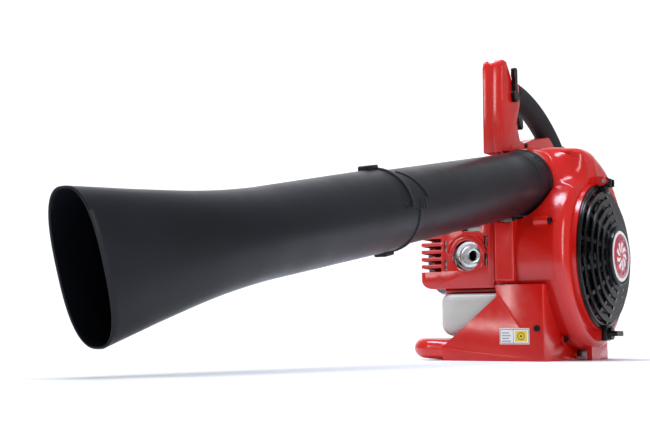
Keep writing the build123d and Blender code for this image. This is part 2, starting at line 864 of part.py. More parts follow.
throttle_x = cyl_x + 18
with BuildPart() as throttle_arm:
    with BuildSketch(side_plane(cyl_x - 10)):
        with Locations((68, carb_z)):
            Circle(2.5)
    extrude(amount=throttle_x + 4.5 - cyl_x + 10)
    with BuildSketch(side_plane(throttle_x + 1)):
        with Locations((68, carb_z)):
            Circle(5)
        with Locations((68, carb_z + 9)):
            Rectangle(6, 18)
        with Locations((68, carb_z + 18)):
            Circle(4)
            Circle(1.5, mode=Mode.SUBTRACT)
    extrude(amount=2)
    with BuildSketch(Plane(origin=(cyl_x, 68, carb_z), z_dir=(0, 0, 1))):
        Circle(6.7)
    extrude(amount=0.6, both=True)
save(throttle_arm, "throttle_arm")

# air cleaner
cleaner_x = cyl_x - 6
cleaner_w = 74.0
cleaner_h = 78.0
cleaner_z = 172.0
with BuildPart() as cleaner_base:
    with BuildSketch(front_plane(carb_back + 4)):
        with Locations((cleaner_x, cleaner_z)):
            RectangleRounded(cleaner_w, cleaner_h, 9)
        with Locations((cyl_x, carb_z)):
            Circle(7, mode=Mode.SUBTRACT)
    extrude(amount=4)
    with BuildSketch(front_plane(carb_back + 11)):
        with Locations((cleaner_x - 20, cleaner_z - 20)):
            Circle(5)
    extrude(amount=7)
    with BuildSketch(front_plane(carb_back)):
        with Locations((choke_x, choke_z)):
            Circle(2.5)
    extrude(amount=3.2)
save(cleaner_base, "air_cleaner_base")

with BuildPart() as air_filter:
    with BuildSketch(front_plane(carb_back + 18)):
        with Locations((cleaner_x + 11, cleaner_z + 4)):
            RectangleRounded(46, 54, 5)
    extrude(amount=13)
save(air_filter, "air_filter")

cover_y = carb_back + 4.3
with BuildPart() as cleaner_cover:
    with BuildSketch(front_plane(cover_y + 24)):
        with Locations((cleaner_x, cleaner_z)):
            RectangleRounded(cleaner_w, cleaner_h, 9)
    extrude(amount=24)
    fillet(cleaner_cover.faces().sort_by(Axis.Y)[-1].edges(), 6)
    with BuildSketch(front_plane(cover_y + 21.5)):
        with Locations((cleaner_x, cleaner_z)):
            RectangleRounded(cleaner_w - 5, cleaner_h - 5, 7)
    extrude(amount=30, mode=Mode.SUBTRACT)
    with BuildSketch(front_plane(cover_y + 40)):
        with Locations((cleaner_x - 20, cleaner_z - 20)):
            Circle(3.5 + shaft_fit)
    extrude(amount=40, mode=Mode.SUBTRACT)
    with BuildSketch(front_plane(cover_y + 24)):
        for up in (22, 14, 6):
            with Locations((cleaner_x + 6, cleaner_z + up)):
                SlotOverall(36, 3)
    extrude(amount=1.2, mode=Mode.SUBTRACT)
save(cleaner_cover, "air_cleaner_cover")

with BuildPart() as cleaner_knob:
    with BuildSketch(front_plane(cover_y + 24 + run_gap + 10)):
        with Locations((cleaner_x - 20, cleaner_z - 20)):
            RegularPolygon(10, 8)
    extrude(amount=10)
    fillet(cleaner_knob.faces().sort_by(Axis.Y)[-1].edges(), 1.5)
    with BuildSketch(front_plane(cover_y + 25)):
        with Locations((cleaner_x - 20, cleaner_z - 20)):
            Circle(3.5)
    extrude(amount=17)
save(cleaner_knob, "air_cleaner_knob")

with BuildPart() as choke_lever:
    with BuildSketch(front_plane(carb_back - run_gap)):
        with Locations((choke_x, choke_z)):
            Circle(5)
            Circle(2.5 + shaft_fit, mode=Mode.SUBTRACT)
        with Locations((choke_x - 14, choke_z)):
            RectangleRounded(20, 5, 2)
        with Locations((choke_x - 25, choke_z + 2)):
            RectangleRounded(7, 12, 3)
    extrude(amount=2.5)
save(choke_lever, "choke_lever")

with BuildPart() as primer_bulb:
    with BuildSketch(Plane(origin=(carb_left, primer_y, primer_z), x_dir=(0, 1, 0), z_dir=(-1, 0, 0))):
        Circle(primer_r)
    extrude(amount=8)
    fillet(primer_bulb.faces().sort_by(Axis.X)[0].edges(), 5.5)
save(primer_bulb, "primer_bulb")

# ---------------------------------------------------------------- engine cover and cooling duct
cover_mid = ((cover_left + cover_right) / 2, (cover_front + cover_back) / 2)


def corner_waste(skin):
    """What the rounding takes off along the cover's lower left edge, its radius less skin."""
    with BuildPart() as piece:
        with BuildSketch(front_plane(cover_back + 1)):
            with Locations((cover_left + cover_corner, cover_bottom + cover_corner)):
                Rectangle(cover_corner + 1, cover_corner + 1, align=(Align.MAX, Align.MAX))
                Circle(cover_corner - skin, mode=Mode.SUBTRACT)
        extrude(amount=cover_back - cover_front + 2)
    return piece.part


with BuildPart() as cover_room:
    with BuildSketch(Plane.XY.offset(cover_bottom - 1)):
        with Locations((cover_mid[0] + 20, cover_mid[1] + 30)):
            RectangleRounded(cover_right - cover_left + 40 - 2 * wall,
                             cover_back - cover_front + 60 - 2 * wall, 7.5)
    extrude(amount=cover_top - cover_bottom + 1 - wall)
    fillet(cover_room.faces().sort_by(Axis.Z)[-1].edges(), 6.5)
    add(corner_waste(wall), mode=Mode.SUBTRACT)

with BuildPart() as engine_cover:
    with BuildSketch(Plane.XY.offset(cover_bottom)):
        with Locations(cover_mid):
            RectangleRounded(cover_right - cover_left, cover_back - cover_front, 10)
    extrude(amount=cover_top - cover_bottom)
    fillet(engine_cover.faces().sort_by(Axis.Z)[-1].edges(), 9)
    add(cover_room.part, mode=Mode.SUBTRACT)
    with BuildSketch(Plane.XY.offset(cover_top - 20)):
        with Locations((cyl_x + 17, 25)):
            Rectangle(58, 70)
    extrude(amount=40, mode=Mode.SUBTRACT)
    with BuildSketch(shaft_plane(cover_left - 5)):
        Circle(starter_r + 1.5)
    extrude(amount=20, mode=Mode.SUBTRACT)
    with BuildSketch(front_plane(cover_front + 1)):
        with Locations((muffler_hole_x, axis_z + 0.4)):
            Circle(muffler_hole_r + 5)
            with Locations((0, -14)):
                Rectangle(60, 28, mode=Mode.SUBTRACT)
    extrude(amount=2.2)
    with BuildSketch(front_plane(cover_front + 8)):
        with Locations((muffler_hole_x, axis_z + 0.4)):
            Circle(muffler_hole_r)
        with Locations((-104, 131), (-104, 109.5)):
            SlotOverall(14, 3.2, rotation=90)
        with Locations((-53.5, 134.5), (-53.5, 114)):
            SlotOverall(15, 4.2, rotation=90)
        with Locations((-71, 150)):
            SlotOverall(24, 5.5)
    extrude(amount=14, mode=Mode.SUBTRACT)
    with BuildSketch(front_plane(cover_front + side_slot_depth)):
        with Locations((cover_left + 7, axis_z + 2)):
            with GridLocations(0, slot_pitch, 1, slot_count):
                Rectangle(45, 4.4)
    extrude(amount=side_slot_depth + 6, mode=Mode.SUBTRACT)
    add(corner_waste(0), mode=Mode.SUBTRACT)
    add(tube_cut(tube_r + 4.3), mode=Mode.SUBTRACT)
    add(duct_room, mode=Mode.SUBTRACT)
    add(flange_cut(collar_r + 1), mode=Mode.SUBTRACT)
save(engine_cover, "engine_cover")

duct_left = -38.8
duct_right = -16.2
with BuildPart() as cooling_duct:
    with BuildSketch(Plane.XY.offset(cover_bottom + 3.5)):
        with Locations(((duct_left + duct_right) / 2, -86.5)):
            Rectangle(duct_right - duct_left, 45)
    extrude(amount=88)
    chamfer(cooling_duct.faces().sort_by(Axis.Z)[0].edges().group_by(Axis.Y)[0], 5)
    fillet(cooling_duct.edges().filter_by(Axis.Z).group_by(Axis.Y)[0], 2)
    with BuildSketch(Plane.XY.offset(cover_bottom + 3.5 + 7)):
        with Locations(((duct_left + duct_right) / 2, -80)):
            Rectangle(duct_right - duct_left - 2 * wall, 45)
    extrude(amount=100, mode=Mode.SUBTRACT)
    add(tube_cut(tube_r + 4.3), mode=Mode.SUBTRACT)
    with BuildSketch(shaft_plane(case_in - 30)):
        Circle(bay_r + 1)
    extrude(amount=40, mode=Mode.SUBTRACT)
    add(duct_room, mode=Mode.SUBTRACT)
save(cooling_duct, "cooling_duct")

# ---------------------------------------------------------------- stand
with BuildPart() as scroll_solid:
    with BuildSketch(shaft_plane(case_in - 0.2)):
        add(make_face(scroll_outline(-0.2).line))
    extrude(amount=60)
    with BuildSketch(shaft_plane(case_in - 9)):
        Circle(bay_r + 0.5)
    extrude(amount=20)
    with BuildSketch(shaft_plane(case_split - 9)):
        with Locations(*screw_spots):
            Circle(6)
    extrude(amount=18)

skid_from = -90.0
skid_up = skid_r + skid_lift
with BuildLine() as skid_path:
    FilletPolyline((skid_from, stand_front + skid_r, skid_r), (skid_x, stand_front + skid_r, skid_up),
                   (skid_x, stand_back - skid_r, skid_up), (skid_from, stand_back - skid_r, skid_r),
                   radius=22)

plate_left = -104.0
stand_top = cover_bottom + 2.5
with BuildPart() as base_stand:
    with BuildSketch(front_plane(stand_front + 3)):
        with BuildLine():
            Polyline((plate_left, 0), (stand_right, 0), (stand_right, stand_top), (duct_left, stand_top),
                     (-37, 72), (plate_left + 3, 18), (plate_left, 18), close=True)
        make_face()
    extrude(amount=3)
    fillet(base_stand.edges().filter_by(Axis.Y).group_by(Axis.X)[-1].sort_by(Axis.Z)[-1], 2)
    with BuildSketch(front_plane(stand_back)):
        with BuildLine():
            Polyline((plate_left, 0), (stand_right, 0), (stand_right, 60), (-60, 60),
                     (plate_left + 3, 18), (plate_left, 18), close=True)
        make_face()
    extrude(amount=3)
    with BuildSketch(side_plane(stand_right - 2.5)):
        with BuildLine():
            Polyline((stand_front, 0), (stand_back, 0), (stand_back, 60), (30, 60), (-60, stand_top),
                     (stand_front, stand_top), close=True)
        make_face()
    extrude(amount=2.5)
    with BuildSketch(Plane.XY):
        with Locations((stand_right - 11, (stand_front + stand_back) / 2)):
            Rectangle(22, stand_back - stand_front)
    extrude(amount=14)
    with BuildSketch(Plane.XY):
        with Locations((-50, stand_front + 6), (-50, stand_back - 6)):
            Rectangle(108, 12)
    extrude(amount=4)
    skid_start = (skid_from, stand_front + skid_r, skid_r)
    with BuildSketch(Plane(origin=skid_start, x_dir=(0, 1, 0), z_dir=(1, 0, 0))):
        Circle(skid_r)
    sweep(path=skid_path.line)
    with BuildSketch(Plane.XY.offset(-5)):
        Rectangle(600, 600)
    extrude(amount=5, mode=Mode.SUBTRACT)
    add(scroll_solid.part, mode=Mode.SUBTRACT)
save(base_stand, "base_stand")

with BuildPart() as label:
    with BuildSketch(front_plane(stand_front)):
        with Locations((-16, 27.5)):
            RectangleRounded(35, 17.5, 1)
    extrude(amount=0.4)
save(label, "label")

# ---------------------------------------------------------------- fuel tank
tank_right = -26.0
tank_left = -115.0
tank_front = stand_front + 6
tank_back = 66.0
tank_low = 28.0
tank_top = 76.0
cap_y = -30.0
cap_z = 53.0
tank_mid = ((tank_left + tank_right) / 2, (tank_front + tank_back) / 2)
with BuildPart() as tank_room:
    with BuildSketch(Plane.XY.offset(tank_low + tank_wall)):
        with Locations(tank_mid):
            RectangleRounded(tank_right - tank_left - 2 * tank_wall,
                             tank_back - tank_front - 2 * tank_wall, 17.5)
    extrude(amount=tank_top - tank_low - 2 * tank_wall)
    fillet(tank_room.faces().sort_by(Axis.Z)[-1].edges(), 8 - tank_wall)
    fillet(tank_room.faces().sort_by(Axis.Z)[0].edges(), 14 - tank_wall)

with BuildPart() as fuel_tank:
    with BuildSketch(Plane.XY.offset(tank_low)):
        with Locations(tank_mid):
            RectangleRounded(tank_right - tank_left, tank_back - tank_front, 20)
    extrude(amount=tank_top - tank_low)
    fillet(fuel_tank.faces().sort_by(Axis.Z)[-1].edges(), 8)
    fillet(fuel_tank.faces().sort_by(Axis.Z)[0].edges(), 14)
    with BuildSketch(Plane(origin=(tank_left + 5, cap_y, cap_z), x_dir=(0, 1, 0), z_dir=(-1, 0, 0))):
        Circle(15)
    extrude(amount=13)
    add(tank_room.part, mode=Mode.SUBTRACT)
    with BuildSketch(Plane(origin=(tank_left + 8, cap_y, cap_z), x_dir=(0, 1, 0), z_dir=(-1, 0, 0))):
        Circle(12)
    extrude(amount=20, mode=Mode.SUBTRACT)
save(fuel_tank, "fuel_tank")

with BuildPart() as fuel_cap:
    with BuildSketch(Plane(origin=(tank_left - run_gap, cap_y, cap_z), x_dir=(0, 1, 0), z_dir=(-1, 0, 0))):
        Circle(19)
        with PolarLocations(19, 18):
            Circle(1.2)
    extrude(amount=14)
    with BuildSketch(Plane(origin=(tank_left, cap_y, cap_z), x_dir=(0, 1, 0), z_dir=(-1, 0, 0))):
        Circle(15 + run_gap)
    extrude(amount=11, mode=Mode.SUBTRACT)
save(fuel_cap, "fuel_cap")


def pipe_run(points, radius, bore, turn):
    """A round pipe along straight runs joined by tangent arcs."""
    with BuildPart() as piece:
        with BuildLine() as route:
            FilletPolyline(*points, radius=turn)
        with BuildSketch(Plane(origin=route.line @ 0, z_dir=route.line % 0)):
            Circle(radius)
            if bore:
                Circle(bore, mode=Mode.SUBTRACT)
        sweep(path=route.line)
    return piece


fuel_route = [(-96, 50, tank_top), (-96, 50, 100), (-80, 72, 124), (-80, 72, carb_z - 25)]
fuel_line = pipe_run(fuel_route, 2.6, 0, [16, 16])
save(fuel_line, "fuel_line")

# ---------------------------------------------------------------- recoil starter
with BuildPart() as starter_housing:
    with BuildSketch(shaft_plane(starter_left)):
        Circle(starter_r)
    extrude(amount=starter_len)
    fillet(starter_housing.faces().sort_by(Axis.X)[0].edges(), 6)
    with BuildSketch(shaft_plane(starter_left + wall)):
        Circle(starter_r - wall)
    extrude(amount=starter_len, mode=Mode.SUBTRACT)
    with BuildSketch(shaft_plane(starter_left - 1)):
        with PolarLocations(27, 10):
            RectangleRounded(14, 5, 2.4)
    extrude(amount=wall + 2, mode=Mode.SUBTRACT)
    with BuildSketch(shaft_plane(starter_left + 1)):
        Circle(4)
    extrude(amount=18)
    with BuildSketch(shaft_plane(starter_left + starter_len - 3)):
        with PolarLocations(27, 4, 45):
            Circle(5)
            with Locations((7, 0)):
                Rectangle(14, 6)
    extrude(amount=3)
    with BuildSketch(shaft_plane(starter_left + starter_len - 3)):
        with PolarLocations(27, 4, 45):
            Circle(4)
    extrude(amount=cyl_x - crankcase_half - starter_left - starter_len + 3)
    with BuildSketch(Plane.XY.offset(axis_z + 26)):
        with Locations((rope_x, rope_y)):
            Circle(6)
    extrude(amount=14)
    with BuildSketch(Plane.XY.offset(axis_z + 20)):
        with Locations((rope_x, rope_y)):
            Circle(3)
    extrude(amount=40, mode=Mode.SUBTRACT)
save(starter_housing, "starter_housing")

with BuildPart() as starter_pulley:
    with BuildSketch(shaft_plane(rope_x - 2)):
        Circle(pulley_r)
    extrude(amount=4)
    for x in (rope_x - 3.2, rope_x + 2):
        with BuildSketch(shaft_plane(x)):
            Circle(pulley_r + 3)
        extrude(amount=1.2)
    with BuildSketch(shaft_plane(starter_left)):
        Circle(4 + shaft_fit)
    extrude(amount=60, mode=Mode.SUBTRACT)
save(starter_pulley, "starter_pulley")

with BuildPart() as recoil_spring:
    with BuildSketch(shaft_plane(starter_left + wall + 0.3)):
        Circle(22)
        Circle(9, mode=Mode.SUBTRACT)
    extrude(amount=rope_x - 3.2 - starter_left - wall - 0.8)
save(recoil_spring, "recoil_spring")

with BuildPart() as starter_cup:
    with BuildSketch(shaft_plane(shaft_left + 0.5)):
        Circle(15)
        Circle(shaft_r, mode=Mode.SUBTRACT)
    extrude(amount=5)
save(starter_cup, "starter_cup")

with BuildPart() as starter_rope:
    with BuildSketch(Plane.XY.offset(axis_z)):
        with Locations((rope_x, rope_y)):
            Circle(1.75)
    extrude(amount=grip_low - axis_z)
save(starter_rope, "starter_rope")

with BuildPart() as starter_grip:
    with BuildSketch(Plane.XY.offset(grip_low)):
        with Locations((rope_x, rope_y)):
            RectangleRounded(13, 46, 6)
    extrude(amount=13)
    fillet(starter_grip.faces().filter_by(Axis.Z).edges(), 4)
save(starter_grip, "starter_grip")

# ---------------------------------------------------------------- ignition
coil_x = case_in - 7.5
with BuildPart() as ignition_coil:
    with BuildSketch(side_plane(coil_x)):
        with Locations((72, axis_z)):
            RectangleRounded(20, 30, 3)
    extrude(amount=7)
    with BuildSketch(side_plane(coil_x + 1.5)):
        with Locations((56, axis_z - 9.5), (56, axis_z + 9.5)):
            Rectangle(14, 6)
    extrude(amount=4)
    with BuildSketch(shaft_plane(coil_x - 1)):
        Circle(flywheel_r + run_gap + 0.1)
    extrude(amount=20, mode=Mode.SUBTRACT)
save(ignition_coil, "ignition_coil")

ignition_lead = pipe_run([(coil_x + 3.5, 74, axis_z + 15), (-22, 74, 158), (-32, 64, 196), (-54, 46, 224),
                          (cyl_x, 28, plug_z + 19)], 3.0, 0, [40, 40, 30])
save(ignition_lead, "ignition_lead")

# ---------------------------------------------------------------- handle
arc_y = -50.7
arc_z = 74.2
arc_r = 244.5


def arc_point(y):
    return (y, arc_z + (arc_r ** 2 - (y - arc_y) ** 2) ** 0.5)


def grip_path(y0, y1):
    """The grip's centre line between two stations, in the handle's middle plane."""
    points = [(handle_x, *arc_point(y)) for y in (y0, (y0 + y1) / 2, y1)]
    with BuildLine(mode=Mode.PRIVATE) as route:
        ThreePointArc(*points)
    return route.line


def grip_bar(y0, y1, radius, bore):
    path = grip_path(y0, y1)
    with BuildPart() as piece:
        with BuildSketch(Plane(origin=path @ 0, z_dir=path % 0)):
            Circle(radius)
            if bore:
                Circle(bore, mode=Mode.SUBTRACT)
        sweep(path=path)
    return piece.part


grip_from = -30.0
grip_to = 104.0
frame_shape = [(column_front, 238), (column_front, 338), (-80, 347.5), (-70, 347.5), (-60, 335), (-55, 328),
               (-34, 325), (-31.5, 302), (-42, 278), (-33, 259), (-17, 257.5), (12, 266), (58, 276),
               (70, 270), (90, 256), (98, 250), (112, 272), (124, 262), (127, 240), (112, 224), (60, 241),
               (-30, 241), (-40, 238)]
room_shape = [(column_front + 3, 241), (column_front + 3, 336), (-74, 344), (-58, 324), (-37, 321),
              (-35, 303), (-45.5, 278), (-37, 255), (-17, 254.5), (12, 263), (56, 271), (66, 262),
              (112, 236), (112, 229), (60, 244), (-30, 244), (-40, 241)]
trigger_room = [(-52, 312), (-34, 312), (-27, 303), (-27, 268), (-44, 270), (-54, 292)]
core_bar = grip_bar(-50, 114, grip_core_r, 0)
core_hole = grip_bar(-44, 108, grip_core_r - 3, 0)


def handle_half_shell(side):
    """One handle half. side is 1 for the fan side and -1 for the engine side."""
    with BuildPart() as piece:
        with BuildSketch(side_plane(handle_x - handle_half)):
            with BuildLine():
                Polyline(*frame_shape, close=True)
            make_face()
        extrude(amount=2 * handle_half)
        long_edges = piece.faces().sort_by(Axis.X)
        chamfer(long_edges[0].edges() + long_edges[-1].edges(), 1.6)
        with BuildSketch(side_plane(handle_x - handle_half + 3)):
            with BuildLine():
                Polyline(*room_shape, close=True)
            make_face()
        extrude(amount=2 * handle_half - 6, mode=Mode.SUBTRACT)
        add(core_bar)
        add(core_hole, mode=Mode.SUBTRACT)
        with BuildSketch(side_plane(handle_x - 7)):
            with BuildLine():
                Polyline(*trigger_room, close=True)
            make_face()
        extrude(amount=14, mode=Mode.SUBTRACT)
        with BuildSketch(front_plane(-60)):
            with Locations((handle_x - 2, 350)):
                Circle(5.5)
        extrude(amount=40, mode=Mode.SUBTRACT)
        with BuildSketch(side_plane(handle_x - 30)):
            with Locations((trigger_y, trigger_z)):
                Circle(2)
        extrude(amount=60, mode=Mode.SUBTRACT)
        with BuildSketch(Plane.XY.offset(236)):
            with Locations((handle_x - 6, 56)):
                Rectangle(10, 20)
        extrude(amount=12, mode=Mode.SUBTRACT)
        with BuildSketch(side_plane(handle_x - handle_half - 1)):
            with Locations((switch_y, switch_z)):
                Rectangle(9, 16)
        extrude(amount=6, mode=Mode.SUBTRACT)
        with BuildSketch(side_plane(handle_x + handle_half - 4)):
            with Locations((lever_y, lever_z)):
                Circle(3)
        extrude(amount=6, mode=Mode.SUBTRACT)
        add(tube_cut(tube_r + 4.3), mode=Mode.SUBTRACT)
        add(flange_cut(collar_r + 0.5), mode=Mode.SUBTRACT)
        add(duct_room, mode=Mode.SUBTRACT)
        keep = Keep.TOP if side > 0 else Keep.BOTTOM
        split(bisect_by=side_plane(handle_x), keep=keep)
    return piece


handle_right = handle_half_shell(1)
save(handle_right, "handle_right")
handle_left = handle_half_shell(-1)
save(handle_left, "handle_left")

grip_tube = grip_bar(grip_from, grip_to, grip_r, grip_core_r + 0.05)
with BuildPart() as grip_sleeve:
    add(grip_tube)
save(grip_sleeve, "grip_sleeve")

with BuildPart() as trigger_pin:
    with BuildSketch(side_plane(handle_x - handle_half + 0.5)):
        with Locations((trigger_y, trigger_z)):
            Circle(2)
    extrude(amount=2 * handle_half - 1)
save(trigger_pin, "trigger_pin")

with BuildPart() as throttle_trigger:
    with BuildSketch(side_plane(handle_x - 6)):
        with BuildLine():
            Polyline((-46, 308), (-40, 306), (-30, 298.5), (-13, 290), (-8, 287), (-7, 278),
                     (-11, 275), (-15, 280), (-22, 289), (-34, 297), (-46, 300), close=True)
        make_face()
    extrude(amount=12)
    fillet(throttle_trigger.edges().filter_by(Axis.X), 1.2)
    with BuildSketch(side_plane(handle_x - 8)):
        with Locations((trigger_y, trigger_z)):
            Circle(2 + shaft_fit)
    extrude(amount=16, mode=Mode.SUBTRACT)
save(throttle_trigger, "throttle_trigger")

with BuildPart() as speed_lever:
    with BuildSketch(side_plane(handle_x + handle_half + run_gap)):
        with Locations((lever_y, lever_z)):
            Circle(7)
        with Locations((lever_y - 1, lever_z + 14)):
            Rectangle(7, 24)
        with Locations((lever_y - 2, lever_z + 27)):
            RectangleRounded(9, 13, 3)
    extrude(amount=5)
    fillet(speed_lever.faces().sort_by(Axis.X)[-1].edges(), 1)
    with BuildSketch(side_plane(handle_x + handle_half - 3)):
        with Locations((lever_y, lever_z)):
            Circle(3 - shaft_fit)
    extrude(amount=5)
save(speed_lever, "speed_lever")

with BuildPart() as stop_switch:
    with BuildSketch(side_plane(handle_x - handle_half - 1.5)):
        with Locations((switch_y, switch_z - 3)):
            Rectangle(8.4, 9.4)
    extrude(amount=3.9)
save(stop_switch, "stop_switch")

cable_route = [(handle_x, -52, 290), (handle_x, -56, 262), (handle_x, -34, 248), (handle_x, 10, 252),
               (-56, 54, 246), (-60.5, 66, 226), (-60.5, 66, 203)]
throttle_cable = pipe_run(cable_route, 2.2, 0, [18, 20, 20, 14, 14])
save(throttle_cable, "throttle_cable")

# bracket that ties the handle's foot to the fan case
with BuildPart() as handle_bracket:
    with BuildSketch(side_plane(handle_x + handle_half)):
        with BuildLine():
            Polyline((-2, 240), (-2, 250), (40, 258), (58, 252), (64, 210), (-2, 210), close=True)
        make_face()
    extrude(amount=case_in + 2 - handle_x - handle_half)
    fillet(handle_bracket.faces().sort_by(Axis.X)[-1].edges().group_by(Axis.Z)[-1], 5)
    add(scroll_solid.part, mode=Mode.SUBTRACT)
    add(duct_room, mode=Mode.SUBTRACT)
save(handle_bracket, "handle_bracket")

handle_screw_spots = [(-70, 256), (-70, 292), (-10, 249.5), (48, 256), (118, 240)]
screw_head_r = 3.4
with BuildPart() as shell_screws:
    with BuildSketch(side_plane(handle_x + handle_half)):
        with Locations((-17, 254.4)):
            Circle(2.8)
    extrude(amount=1.6)
    with BuildSketch(side_plane(handle_x - handle_half)):
        with Locations(*handle_screw_spots):
            Circle(screw_head_r)
    extrude(amount=-1.6)
    with BuildSketch(side_plane(cover_left)):
        with Locations((-86, 95), (-86, 158), (42, 95)):
            Circle(screw_head_r)
    extrude(amount=-1.6)
    with BuildSketch(front_plane(stand_front)):
        with Locations((stand_right - 8, 36)):
            Circle(screw_head_r)
    extrude(amount=1.6)
save(shell_screws, "shell_screws")
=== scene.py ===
import json
import math

import bmesh
import bpy
from mathutils import Matrix, Vector
from mathutils.bvhtree import BVHTree

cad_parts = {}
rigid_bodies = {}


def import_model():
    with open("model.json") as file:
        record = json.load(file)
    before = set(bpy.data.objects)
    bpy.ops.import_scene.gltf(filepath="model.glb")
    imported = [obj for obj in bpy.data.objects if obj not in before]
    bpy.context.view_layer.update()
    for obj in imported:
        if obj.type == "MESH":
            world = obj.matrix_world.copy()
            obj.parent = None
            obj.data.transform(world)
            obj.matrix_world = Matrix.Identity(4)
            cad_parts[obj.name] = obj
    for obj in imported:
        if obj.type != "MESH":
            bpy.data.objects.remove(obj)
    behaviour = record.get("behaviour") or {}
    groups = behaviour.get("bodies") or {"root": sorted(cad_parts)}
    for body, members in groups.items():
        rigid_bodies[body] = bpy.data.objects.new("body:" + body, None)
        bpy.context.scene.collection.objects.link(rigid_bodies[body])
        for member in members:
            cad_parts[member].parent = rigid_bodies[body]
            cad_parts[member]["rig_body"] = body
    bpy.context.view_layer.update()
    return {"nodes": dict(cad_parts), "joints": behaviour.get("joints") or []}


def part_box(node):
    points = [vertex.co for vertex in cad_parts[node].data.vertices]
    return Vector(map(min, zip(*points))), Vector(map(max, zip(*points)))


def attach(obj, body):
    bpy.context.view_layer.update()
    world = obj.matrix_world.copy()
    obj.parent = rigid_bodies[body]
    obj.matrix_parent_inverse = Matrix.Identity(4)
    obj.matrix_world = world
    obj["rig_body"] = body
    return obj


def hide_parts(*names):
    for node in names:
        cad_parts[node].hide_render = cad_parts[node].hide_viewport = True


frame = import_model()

nodes = frame["nodes"]
joints = {joint["name"]: joint for joint in frame["joints"]}
mm = 0.001
print("frame loaded:", len(nodes), "nodes")


def linearColour(code):  # sRGB hex to the linear colour that a shader takes
    parts = [int(code[k:k + 2], 16) / 255 for k in (1, 3, 5)]
    return (*[p / 12.92 if p <= 0.04045 else ((p + 0.055) / 1.055) ** 2.4 for p in parts], 1.0)


def addNode(tree, kind, inputs=None, **settings):  # one node, with its settings, values and links
    node = tree.nodes.new(kind)
    for name, value in settings.items():
        setattr(node, name, value)
    for key, value in (inputs or {}).items():
        if isinstance(value, bpy.types.NodeSocket):
            tree.links.new(value, node.inputs[key])
        else:
            node.inputs[key].default_value = value
    return node


def startMaterial(name, colour, **values):
    material = bpy.data.materials.new(name)
    material.use_nodes = True
    tree = material.node_tree
    tree.nodes.clear()
    shader = addNode(tree, "ShaderNodeBsdfPrincipled", {"Base Color": linearColour(colour), **values})
    addNode(tree, "ShaderNodeOutputMaterial", {"Surface": shader.outputs["BSDF"]})
    place = addNode(tree, "ShaderNodeTexCoord").outputs["Object"]
    return material, tree, shader, place


def blotches(tree, place, sizeMm, low, high, detail=3.0):  # a soft uneven value; sizeMm is one blotch
    scale = 1 / (sizeMm * mm)
    noise = addNode(tree, "ShaderNodeTexNoise", {"Vector": place, "Scale": scale, "Detail": detail})
    spread = addNode(tree, "ShaderNodeMapRange", {"Value": noise.outputs["Fac"], "From Min": 0.3,
                                                  "From Max": 0.7, "To Min": low, "To Max": high})
    return spread.outputs["Result"]


def twoTone(tree, shader, amount, first, second):  # the base colour drifts between two near tones
    mix = addNode(tree, "ShaderNodeMix", {0: amount, 6: linearColour(first), 7: linearColour(second)},
                  data_type="RGBA")
    tree.links.new(mix.outputs[2], shader.inputs["Base Color"])


def relief(tree, shader, height, depthMm, strength):  # bump of a real depth
    bump = addNode(tree, "ShaderNodeBump", {"Height": height, "Distance": depthMm * mm, "Strength": strength})
    tree.links.new(bump.outputs["Normal"], shader.inputs["Normal"])


def redAbs():  # ABS moulded in a polished tool: deep glossy red, faint flow waves, fine handling haze
    material, tree, shader, place = startMaterial("ABS gloss red, moulded", "#c41610", IOR=1.54)
    twoTone(tree, shader, blotches(tree, place, 60, 0, 1), "#c8190f", "#b9120d")
    haze = blotches(tree, place, 9, 0.13, 0.24, 6)
    tree.links.new(haze, shader.inputs["Roughness"])
    relief(tree, shader, blotches(tree, place, 14, 0, 1, 2), 0.06, 0.25)
    return material


def blackPolypropylene():  # spark-eroded tool skin: satin, broad soft sheen, fine even grain
    material, tree, shader, place = startMaterial("Polypropylene black, satin moulded", "#121318", IOR=1.31)
    twoTone(tree, shader, blotches(tree, place, 80, 0, 1), "#101116", "#16171d")
    tree.links.new(blotches(tree, place, 30, 0.34, 0.42, 5), shader.inputs["Roughness"])
    relief(tree, shader, blotches(tree, place, 0.9, 0, 1, 2), 0.02, 0.5)  # grain drawn at 0.9 mm to show
    return material


def blackNylon():  # glass-filled nylon of levers, grille and latch: harder and shinier than the tube
    material, tree, shader, place = startMaterial("Nylon black, glass filled", "#08080a", IOR=1.42)
    tree.links.new(blotches(tree, place, 12, 0.18, 0.3, 5), shader.inputs["Roughness"])
    relief(tree, shader, blotches(tree, place, 1.4, 0, 1, 3), 0.03, 0.4)
    return material


def gripFoam():  # closed-cell foam rubber: dull black with tiny open pores
    material, tree, shader, place = startMaterial("Foam rubber black, closed cell", "#141416", Roughness=0.82,
                                                  IOR=1.5)
    cells = addNode(tree, "ShaderNodeTexVoronoi", {"Vector": place, "Scale": 1 / (1.6 * mm)})
    relief(tree, shader, cells.outputs["Distance"], 0.25, 0.6)
    twoTone(tree, shader, blotches(tree, place, 18, 0, 1), "#121214", "#1d1d20")
    return material


def softRubber():  # primer bulb, boots and cable sheaths: plain PVC and nitrile
    material, tree, shader, place = startMaterial("PVC black, soft", "#131316", IOR=1.5)
    tree.links.new(blotches(tree, place, 6, 0.45, 0.6), shader.inputs["Roughness"])
    relief(tree, shader, blotches(tree, place, 2, 0, 1), 0.05, 0.4)
    return material


def zincSteel():  # bright zinc plate over turned steel: grey mirror with a milky cast
    material, tree, shader, place = startMaterial("Steel, zinc plated", "#b4b6ba", Metallic=1.0)
    tree.links.new(blotches(tree, place, 3, 0.2, 0.38, 5), shader.inputs["Roughness"])
    relief(tree, shader, blotches(tree, place, 0.8, 0, 1), 0.02, 0.4)
    return material


